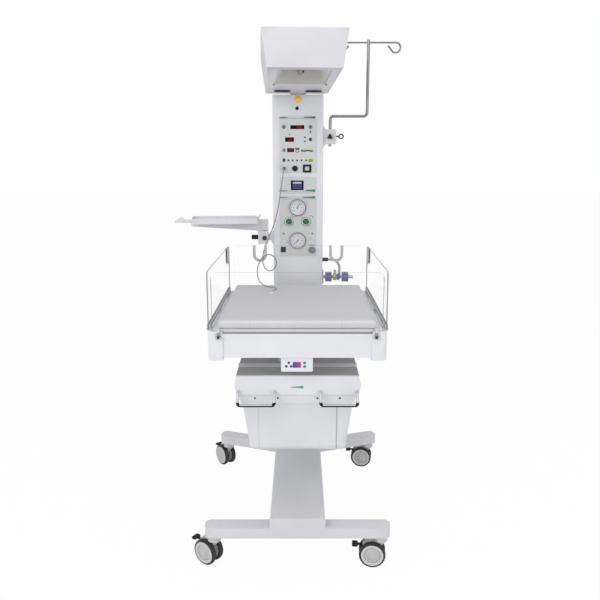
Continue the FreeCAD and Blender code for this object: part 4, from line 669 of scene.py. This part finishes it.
def castor_wheel(side):
    """One wheel's tyre, hub rim and hub disc, turned from profiles of (radius, out from the stem)."""
    tyre = [(38.5, 11.0), (45.5, 10.6), (48.6, 12.0), (49.8, 14.6), (50.0, 20.0), (49.7, 24.6), (48.4, 27.6),
            (46.4, 29.2), (44.0, 29.8), (42.6, 29.4), (42.2, 28.2), (39.0, 27.6)]
    rim = [(30.0, 12.0), (42.0, 12.0), (42.0, 28.0), (41.6, 29.6), (40.2, 30.7), (37.0, 31.2), (33.6, 30.8),
           (32.0, 29.6), (31.2, 27.6), (30.0, 26.0)]
    disc = [(6.0, 11.6), (30.5, 12.4), (30.5, 27.0), (25.0, 27.2), (18.5, 27.4), (16.8, 28.0), (15.8, 29.6),
            (13.6, 30.6), (8.0, 31.0), (0.0, 31.1)]
    normal = "-Y" if side < 0 else "+Y"
    return (turned(tyre, normal, count=64, closed=True), turned(rim, normal, count=64, closed=True),
            turned(disc, normal, count=64))


class WARMER_OT_castors(bpy.types.Operator):
    """Turns the tyres and hubs of the four twin-wheel castors"""
    bl_idname = "warmer.castors"
    bl_label = "Castors"

    def execute(self, context):
        trail, height = 31.0, 50.0
        for corner, (x, y, yaw) in CASTORS.items():
            groups = [[], [], []]
            for side in (-1, 1):
                for parts, (points, faces) in zip(groups, castor_wheel(side)):
                    parts.append((yawed(points + [-trail, 0, height], yaw, (x, y)), faces))
            names = (("tyres_", "castor_wheel", "castor_wheel"), ("hub_rims_", "grey_plastic", "hub_plastic"),
                     ("hub_discs_", "grey_plastic", "hub_disc"))
            made = []
            for parts, (name, slot, finish) in zip(groups, names):
                points, faces = merged(parts)
                made.append(mesh_piece(name + corner, points, faces, "wheels_" + corner, finish))
            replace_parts(made[0], "castor_%s_wheels" % corner)
        return {"FINISHED"}


def window(x, z, width, height, radius=1.5, sink=0.8, face=PANEL_FACE):
    """A display window, sunk in its recess and flush with the face."""
    return plate(width, height, radius, [(0.0, -sink), (0.0, -0.1), (0.4, 0.15)], "-Y", (x, face, z), 4)


def key(x, z, width, height, radius, depth=1.4, face=PANEL_FACE):
    """A membrane key: a low pillow."""
    return plate(width, height, radius, soft_rings(depth, depth * 0.9, -0.2), "-Y", (x, face, z), 5)


def printed(x, z, width, height, radius=1.5, face=PANEL_FACE):
    """A flat printed mark, a quarter of a millimetre thick."""
    return plate(width, height, radius, [(0, 0), (0, 0.2), (0.25, 0.28)], "-Y", (x, face, z), 4)


def wedge(x0, x1, z, start, end, face=PANEL_FACE):
    """A printed stripe whose thickness grows evenly from one end to the other."""
    corners = np.array([(x0, z - start / 2), (x1, z - end / 2), (x1, z + end / 2), (x0, z + start / 2)])
    points = np.vstack([np.column_stack([corners, np.full(4, out)]) for out in (0.0, 0.28)])
    return facing(points, "-Y") + [0, face, 0], ring_faces(2, 4)


def arc_mark(x, z, radius, start, end, thick, face=PANEL_FACE):
    """A printed arc: short bars along a circle, between two angles in degrees from the top."""
    angle = np.radians(np.linspace(start, end, 13))
    spots = np.column_stack([x + radius * np.sin(angle), z + radius * np.cos(angle)])
    return bars(np.column_stack([spots[:-1], spots[1:]]), thick, 0.28, face)


def ring_mark(x, z, inner, outer, out=0.3, face=PANEL_FACE):
    """A flat printed ring."""
    return turned([(inner, 0.0), (inner, out), (outer, out), (outer, 0.0)], "-Y", (x, face, z), 48, True)


SEGMENTS = {"a": (0, 2, 1, 2), "b": (1, 1, 1, 2), "c": (1, 0, 1, 1), "d": (0, 0, 1, 0), "e": (0, 0, 0, 1),
            "f": (0, 1, 0, 2), "g": (0, 1, 1, 1)}
DIGITS = {"0": "abcdef", "1": "bc", "3": "abgcd", "6": "afgedc", "8": "abcdefg"}


def digits(text, x, z, height, face):
    """Seven-segment figures as bars: each figure's strokes run along the sides of two stacked squares."""
    step, lines = height * 0.8, []
    half = height / 2
    left = x - step * (len(text.replace(".", "")) - 0.35) / 2
    for letter in text:
        if letter == ".":
            lines.append((left - step * 0.2, z - half, left - step * 0.08, z - half))
            continue
        for name in DIGITS[letter]:
            x0, z0, x1, z1 = SEGMENTS[name]
            shrink = 0.08 * height
            dx, dz = (shrink if x1 > x0 else 0), (shrink if z1 > z0 else 0)
            lines.append((left + x0 * half + dx, z - half + z0 * half + dz,
                          left + x1 * half - dx, z - half + z1 * half - dz))
        left += step
    return bars(lines, height * 0.13, 0.3, face)


def lay(name, finish, *parts, slot="black_plastic", body="root"):
    """One object from several printed or moulded parts."""
    points, faces = merged(parts)
    mesh_piece(name, points, faces, body, finish)


class WARMER_OT_print(bpy.types.Operator):
    """Lays the displays, keys and coloured bands on the column's panels"""
    bl_idname = "warmer.panel_print"
    bl_label = "Panel displays and keys"

    def execute(self, context):
        self.displays()
        self.keys()
        self.bands()
        return {"FINISHED"}

    def displays(self):
        """Windows with lit figures, and the monitor's screen."""
        lay("window_frame", "panel_plastic", plate(63.6, 23.6, 1.0, [(0, -0.9), (0, 0.1), (0.3, 0.2)], "-Y",
                                                   (-3, PANEL_FACE, 1643), 4), slot="panel_plastic")
        lay("display_windows", "window_black", window(-3, 1642, 62.5, 17, 1.5, -0.1, PANEL_FACE - 0.25),
            window(-38, 1588, 39.4, 19.4), window(-33, 1542, 31.4, 17.4))
        glow = PANEL_FACE - 0.15
        lay("display_figures", "red_figures", digits("36.8", 5, 1642, 11.5, glow - 0.25),
            digits("36", -36, 1588, 12, glow))
        lay("power_figures", "crimson_figures", digits("100", -33, 1542, 12, glow))
        lay("monitor_screen", "screen_navy", window(-3.5, 1386, 58.4, 43.4, 1.0))
        lay("monitor_header", "screen_pale", printed(-3.5, 1397.5, 39, 8, 2.0, glow))
        lay("monitor_blocks", "screen_blue", *[printed(*place, 1.5, glow) for place in (
            (-14, 1385, 22, 11), (9, 1385, 18, 11), (-3.5, 1373.5, 40, 6))])
        lay("monitor_seam", "grey_print", bars([(-82, 1349, 78, 1349)], 0.8, 0.2, PANEL_FACE))

    def keys(self):
        """Keys and small lights beside the displays."""
        for name, finish, places in (
                ("grey_keys", "key_grey", ((-63, 1643, 17, 17, 8.4), (56, 1643, 17, 17, 8.4))),
                ("dark_keys", "key_dark", (
                    (56, 1622, 8, 8, 3.9), (56, 1589, 15, 15, 7.4), (-38, 1610, 6, 6, 2.9),
                    (31, 1598, 8, 7, 3.4), (31, 1580, 8, 7, 3.4),
                    *[(x, 1497, 8, 8, 3) for x in (-43, -24, -4, 16, 36)])),
                ("teal_key", "key_teal", ((-63, 1542, 13, 17, 6.4),)),
                ("blue_keys", "key_blue", ((-63, 1498, 13, 16, 6), (-3, 1547, 20, 8, 3.9)))):
            lay(name, finish, *[key(*place) for place in places])
        lay("key_ring", "dark_ring", arc_mark(-3, 1541, 8.2, 95, 265, 3.6))
        lay("yellow_key", "key_yellow", key(57, 1496, 20, 13, 4))
        lay("pale_key", "key_pale", key(57, 1506, 18, 7, 3))
        lay("dark_bar", "key_dark", printed(40, 1540, 54, 6, 2))
        lay("olive_bar", "key_olive", *[printed(*place, 8, 3, PANEL_FACE - 0.3) for place in (
            (26, 1538, 18), (60, 1538, 16))])

    def bands(self):
        """Tapered bands above and below the modules, knob rings, port ring and thin lines."""
        lay("green_bands", "green_print", *[wedge(*place) for place in (
            (26, 76, 1684, 4.0, 9.0), (34, 78, 1363, 4.0, 10.0), (22, 78, 1332, 4.0, 10.0),
            (-66, -46, 1684, 6.0, 3.0))])
        lay("pale_bands", "pale_green_print", *[wedge(*place) for place in (
            (-82, -66, 1683, 5.0, 6.0), (-84, -48, 1362, 7.0, 2.5), (-84, -46, 1331, 7.0, 2.5))])
        for side in (-1, 1):
            x = side * 39 - 3
            lay("knob_ring_%s" % ("left" if side < 0 else "right"), "ring_green",
                ring_mark(x, 1222, 13.2, 19.6, 0.5, PANEL_FACE - 2.0))
        port = (65, PANEL_FACE, 1090)
        lay("port_ring", "grey_print", ring_mark(65, 1090, 7.0, 13.7, 0.4, PANEL_FACE - 5.0),
            turned([(14.2, 0.0), (14.2, 4.6), (15.4, 4.6), (16.0, 0.0)], "-Y", port, 40, True),
            arc_mark(65, 1090, 24.0, -32, 32, 4.0))
        lay("port_disc", "port_pale", turned([(6.2, -6.0), (6.2, 2.0), (0.0, 2.2)], "-Y", port, 24))
        lines = [(x0, z, x1, z) for x0, x1, z in (
            (-82, 76, 1679), (-80, 78, 1356.8), (-80, 78, 1325), (-40, 36, 1072))]
        lay("grey_lines", "grey_print", bars(lines, 1.0, 0.25, PANEL_FACE),
            arc_mark(-16, 1254, 12.0, 120, 240, 3.0), arc_mark(57, 1234, 15.0, -10, 70, 3.0),
            key(-66, 1167, 10, 10, 4.9, 1.0), key(66, 1167, 10, 10, 4.9, 1.0))


class WARMER_OT_hood(bpy.types.Operator):
    """Shapes the hood, its reflector and heater, and adds the stops, the black sheets of painted shade under
    its back, the bracket and the column cap
    """
    bl_idname = "warmer.hood"
    bl_label = "Hood"

    AXIS_Y = 880.0
    DRAWN_TURN = 3.5
    LOW = 1785.0

    def execute(self, context):
        for node, finish, slot, flat in (("hood_shell", "hood_white", "white_plastic", False),
                                         ("reflector", "reflector_metal", "reflector_metal", True),
                                         ("heater_element", "heater_sheath", "heater_sheath", False)):
            remade(node, finish, "hood", lambda points: self.widen(context, points), flat)
        stops = []
        for x in (-107.0, 107.0):
            spot = self.settle(context, np.array([[x, -283.0, 1799.6]]))[0]
            stops.append(turned([(4.5, -3.0), (4.5, 1.6), (3.6, 2.4), (0.0, 2.6)], "-Z", spot, 24))
        lay("reflector_stops", "black_plastic", *stops, body="hood")
        bracket = plate(26.0, 9.0, 1.0, soft_rings(3.0, 0.5), "-Y", (0, 0, 0), 4)
        points = self.settle(context, bracket[0] + [3.0, -290.0, 1848.0])
        lay("heater_bracket", "black_plastic", (points, bracket[1]), body="hood")
        lay("column_cap", "white_paint", plate(226.0, 108.0, 7.0, [(0, 0), (0, 4.5), (1.4, 6.0)], "+Z",
                                               (0, 880.0, 1776.0), 5), slot="white_paint")
        # painted shade: thin black sheets under the back of the hood, one on each side of the neck, stand for
        # the shadowed gap above the column
        shadow_sheets = []
        for x in (-68.0, 68.0):
            pad = plate(70.0, 62.0, 6.0, [(0, 0), (0, 0.4), (0.2, 0.5)], "-Z", (x, -136.0, self.LOW))
            shadow_sheets.append((self.settle(context, pad[0]), pad[1]))
        lay("hood_shadow_sheets", "black_plastic", *shadow_sheets, body="hood")
        return {"FINISHED"}

    def settle(self, context, local):
        """Points about the swivel axis, turned and shifted as the photograph has the hood."""
        hood = context.scene.warmer_hood
        angle = np.radians(hood.turn)
        x, y, z = local.T
        return np.stack([x * np.cos(angle) - y * np.sin(angle) + hood.shift * 1000.0,
                         self.AXIS_Y + x * np.sin(angle) + y * np.cos(angle), z], axis=1)

    def widen(self, context, points):
        """Half widths are interpolated, by height, between drawn and true ones, and the turn is set anew."""
        hood = context.scene.warmer_hood
        x, y, z = (points - [0, self.AXIS_Y, 0]).T
        back = np.radians(-self.DRAWN_TURN)
        x, y = x * np.cos(back) - y * np.sin(back), x * np.sin(back) + y * np.cos(back) + self.AXIS_Y
        share = np.clip((z - self.LOW) / 170.0, 0.0, 1.0)
        drawn = 140.0 + share * 16.0
        true = (hood.low_width + share * (hood.top_width - hood.low_width)) * 500.0
        drawn_mouth, mouth = 99.0, 103.0
        inner = np.minimum(np.abs(x), drawn_mouth) * (mouth / drawn_mouth)
        outer = np.clip((np.abs(x) - drawn_mouth) / (drawn - drawn_mouth), 0.0, None) * (true - mouth)
        deep = np.maximum(y - 777.0, 0.0)
        y = np.interp(y, [300.0, 345.0, 581.0, 777.0], [300.0, 328.0, 590.0, 777.0]) + deep
        return self.settle(context, np.stack([np.sign(x) * (inner + outer), y - self.AXIS_Y, z], axis=1))


class WARMER_OT_bed(bpy.types.Operator):
    """Adds the weighing display's screen and keys, and the drawer's stripe and screws"""
    bl_idname = "warmer.bed_details"
    bl_label = "Weighing display and drawer print"

    def execute(self, context):
        face = 45.0
        lay("scale_keys", "key_blue", *[key(x, z, 9.6, 9.6, 4.7, 1.0, face) for x, z in
                                        ((-39.9, 776.0), (-31.0, 789.0), (-22.4, 776.0))], body="bed")
        lay("scale_screen", "screen_violet", printed(-9.0, 781.5, 15, 21, 1.5, face), body="bed")
        lay("scale_screen_side", "screen_magenta", printed(5.0, 781.5, 13.5, 21, 1.5, face), body="bed")
        lay("scale_keys_right", "key_teal", *[key(25.4, z, 11, 10, 4.7, 1.0, face) for z in (788.5, 775)],
            body="bed")
        remade("storage_bin", "bin_plastic", "drawer", self.deepen, sharp=9.0)
        lay("drawer_stripe", "teal_print", wedge(-25, 22, 678.0, 3.0, 10.0, 100.0), body="drawer")
        screw = [(3.6, 0.0), (3.6, 0.8), (2.6, 1.3), (0.0, 1.4)]
        lay("band_screws", "key_dark", *[turned(screw, "-Y", (x, 104.0, 633.5), 20)
                                         for x in (-158, -73.5, 74, 157)], body="drawer")
        return {"FINISHED"}

    def deepen(self, points):
        """The bin below its band is drawn out downwards and, evenly with the depth, a little wider."""
        band, drawn_depth, deeper = 612.0, 179.5, 1.10
        x, y, z = points.T
        below = np.clip((band + 0.5 - z) / drawn_depth, 0.0, 1.0)
        wider = np.where(z < band + 0.4, 1.02 + 0.032 * below, 1.0)
        return np.stack([x * wider, y, np.where(z < band + 0.4, band - (band - z) * deeper, z)], axis=1)


class WARMER_OT_gauges(bpy.types.Operator):
    """Fits the gauges' bezels, scales and figures"""
    bl_idname = "warmer.gauges"
    bl_label = "Gauges"

    def execute(self, context):
        bezels, marks = [], []
        for z in (1286, 1135):
            centre = (-2, PANEL_FACE, z)
            bezels.append(turned([(33.6, 8.0), (33.6, 10.4), (34.4, 11.2), (35.6, 11.0), (36.4, 9.8),
                                  (36.6, 6.0), (36.4, 0.0), (33.6, 0.0)], "-Y", centre, 72, True))
            angle = np.radians(np.linspace(-135, 135, 31))
            big = (np.arange(31) % 5 == 0)
            inner = np.where(big, 23.5, 26.0)
            lines = np.stack([-2 + inner * np.sin(angle), z + inner * np.cos(angle),
                              -2 + 28.5 * np.sin(angle), z + 28.5 * np.cos(angle)], axis=1)
            marks.append(bars(lines, np.where(big, 0.9, 0.45), 0.25, PANEL_FACE - 4.95))
        lay("gauge_bezels", "bezel_grey", *bezels, slot="stainless")
        lay("gauge_marks", "black_plastic", *marks)
        for index, (z, top) in enumerate(((1286, 60), (1135, 30))):
            for step in range(7):
                angle = np.radians(-135 + 45 * step)
                self.figure("gauge_%d_figure_%d" % (index, step), str(step * top // 6),
                            -2 + 19.0 * np.sin(angle), z + 19.0 * np.cos(angle))
        return {"FINISHED"}

    def figure(self, name, text, x, z):
        """One printed number of a scale, as a thin mesh on the dial."""
        curve = bpy.data.curves.new(name, "FONT")
        curve.body = text
        curve.size = 0.0065
        curve.extrude = 0.00012
        curve.align_x = "CENTER"
        curve.align_y = "CENTER"
        shape = linked(name, curve)
        bpy.context.view_layer.update()
        mesh = bpy.data.meshes.new_from_object(shape.evaluated_get(bpy.context.evaluated_depsgraph_get()))
        bpy.data.objects.remove(shape)
        write_points(mesh, facing(read_points(mesh) * 1000.0, "-Y") + [x, PANEL_FACE - 5.1, z])
        placed(name, mesh, "root", "black_plastic")


class WARMER_OT_stage(bpy.types.Operator):
    """Sets the pale floor, the soft lamps, the world and the camera"""
    bl_idname = "warmer.stage"
    bl_label = "Stage"

    def execute(self, context):
        self.floor()
        self.world(context)
        self.lamps(context)
        self.camera(context)
        context.scene.view_settings.view_transform = "Standard"
        return {"FINISHED"}

    def floor(self):
        """A wide floor that looks white to the camera but keeps some of the shadow."""
        mesh = bpy.data.meshes.new("studio_floor")
        half = 30.0
        corners = [(-half, -half, 0), (half, -half, 0), (half, half, 0), (-half, half, 0)]
        mesh.from_pydata(corners, [], [(0, 1, 2, 3)])
        floor = linked("studio_floor", mesh)
        f = Finish((0.9, 0.9, 0.9), 0.9)
        f.material.name = "studio_floor"
        f.mottle(f.noise(3.0, 3.0), (0.88, 0.88, 0.885))
        glow = f.node("ShaderNodeEmission", Strength=1.0, Color=(1, 1, 1, 1))
        path = f.node("ShaderNodeLightPath").outputs
        seen = f.math("MAXIMUM", path["Is Camera Ray"], path["Is Transmission Ray"])
        seen = f.math("MAXIMUM", seen, path["Is Glossy Ray"])
        mix = f.node("ShaderNodeMixShader")
        f.link(f.math("MULTIPLY", seen, 0.97), mix.inputs["Fac"])
        f.link(f.shader.outputs["BSDF"], mix.inputs[1])
        f.link(glow.outputs["Emission"], mix.inputs[2])
        f.link(mix.outputs["Shader"], f.tree.nodes["Material Output"].inputs["Surface"])
        mesh.materials.append(f.material)

    def world(self, context):
        """White where the camera or glass looks at it, a plain soft grey as light."""
        world = bpy.data.worlds.new("studio")
        context.scene.world = world
        world.use_nodes = True
        nodes, link = world.node_tree.nodes, world.node_tree.links.new
        back = nodes["Background"].inputs
        path = nodes.new("ShaderNodeLightPath").outputs
        seen = nodes.new("ShaderNodeMath")
        seen.operation = "MAXIMUM"
        link(path["Is Camera Ray"], seen.inputs[0])
        link(path["Is Transmission Ray"], seen.inputs[1])
        light = nodes.new("ShaderNodeMapRange")
        light.inputs["To Min"].default_value = context.scene.warmer_stage.fill
        link(seen.outputs[0], light.inputs["Value"])
        link(light.outputs["Result"], back["Strength"])
        back["Color"].default_value = (1, 1, 1, 1)

    def lamps(self, context):
        """A broad key lamp from the upper left front, a weaker one from the right and one above."""
        for name, place, aim, size, power in (
                ("key_lamp", (-2.2, -3.0, 2.9), (0.0, 0.0, 1.0), 2.6, 62.0),
                ("fill_lamp", (2.8, -2.2, 2.0), (0.0, 0.0, 1.0), 2.4, 26.0),
                ("top_lamp", (0.3, 0.3, 4.2), (0.0, 0.1, 0.9), 2.4, 34.0)):
            lamp = bpy.data.lights.new(name, "AREA")
            lamp.size = size
            lamp.energy = power * context.scene.warmer_stage.level
            item = linked(name, lamp)
            item.location = place
            direction = np.array(aim) - np.array(place)
            yaw = np.arctan2(direction[0], -direction[1])
            pitch = np.arctan2(np.hypot(direction[0], direction[1]), -direction[2])
            item.rotation_euler = (pitch, 0, yaw + np.pi)

    def camera(self, context):
        """The photograph's viewpoint."""
        lens = bpy.data.cameras.new("view_camera")
        lens.sensor_width = 36.0
        lens.lens = 39.0
        camera = linked("view_camera", lens)
        camera.location = (0.063, -2.653, 1.490)
        camera.rotation_euler = (np.radians(78.01), 0, 0)
        context.scene.camera = camera


def length(name, description, default):
    """A property for a length in metres."""
    return bpy.props.FloatProperty(name=name, description=description, default=default, unit="LENGTH")


class WarmerProbe(bpy.types.PropertyGroup):
    diameter: length("Lead diameter", "Thickness of the probe's lead", 0.0048)
    length: length("Lead length", "Length from the plug to the probe", 0.965)


class WarmerMattress(bpy.types.PropertyGroup):
    start_inset: length("Start inset", "How much smaller the cover starts before it is inflated", 0.003)
    swell: length("Swell", "Furthest that a point of the cover may move", 0.004)


class WarmerHood(bpy.types.PropertyGroup):
    turn: bpy.props.FloatProperty(name="Turn", description="Degrees of the hood's turn", default=3.65)
    shift: length("Shift", "Sideways shift of the hood", -0.009)
    top_width: length("Top width", "Width along the top edge", 0.321)
    low_width: length("Low width", "Width along the bottom edge", 0.276)


class WarmerStage(bpy.types.PropertyGroup):
    fill: bpy.props.FloatProperty(name="Fill", description="Strength of the world's soft light", default=0.62)
    level: bpy.props.FloatProperty(name="Lamp level", description="Scales all the lamps", default=1.0)


class WARMER_PT_panel(bpy.types.Panel):
    """Lists the warmer's operators"""
    bl_label = "Infant warmer"
    bl_idname = "WARMER_PT_panel"
    bl_space_type = "VIEW_3D"
    bl_region_type = "UI"
    bl_category = "Warmer"

    def draw(self, context):
        column = self.layout.column()
        for operator in OPERATORS:
            column.operator(operator.bl_idname)
        column.prop(context.scene.warmer_probe, "diameter")
        column.prop(context.scene.warmer_stage, "level")


OPERATORS = (WARMER_OT_finishes, WARMER_OT_probe, WARMER_OT_mattress, WARMER_OT_castors, WARMER_OT_print,
             WARMER_OT_gauges, WARMER_OT_hood, WARMER_OT_bed, WARMER_OT_stage)
SETTINGS = {"warmer_probe": WarmerProbe, "warmer_mattress": WarmerMattress, "warmer_hood": WarmerHood,
            "warmer_stage": WarmerStage}
CLASSES = (*SETTINGS.values(), *OPERATORS, WARMER_PT_panel)


def register():
    for item in CLASSES:
        bpy.utils.register_class(item)
    for name, kind in SETTINGS.items():
        setattr(bpy.types.Scene, name, bpy.props.PointerProperty(type=kind))


def unregister():
    for name in SETTINGS:
        delattr(bpy.types.Scene, name)
    for item in reversed(CLASSES):
        bpy.utils.unregister_class(item)


def main():
    register()
    for operator in OPERATORS:
        area, name = operator.bl_idname.split(".")
        getattr(getattr(bpy.ops, area), name)()


if __name__ == "__main__":
    main()
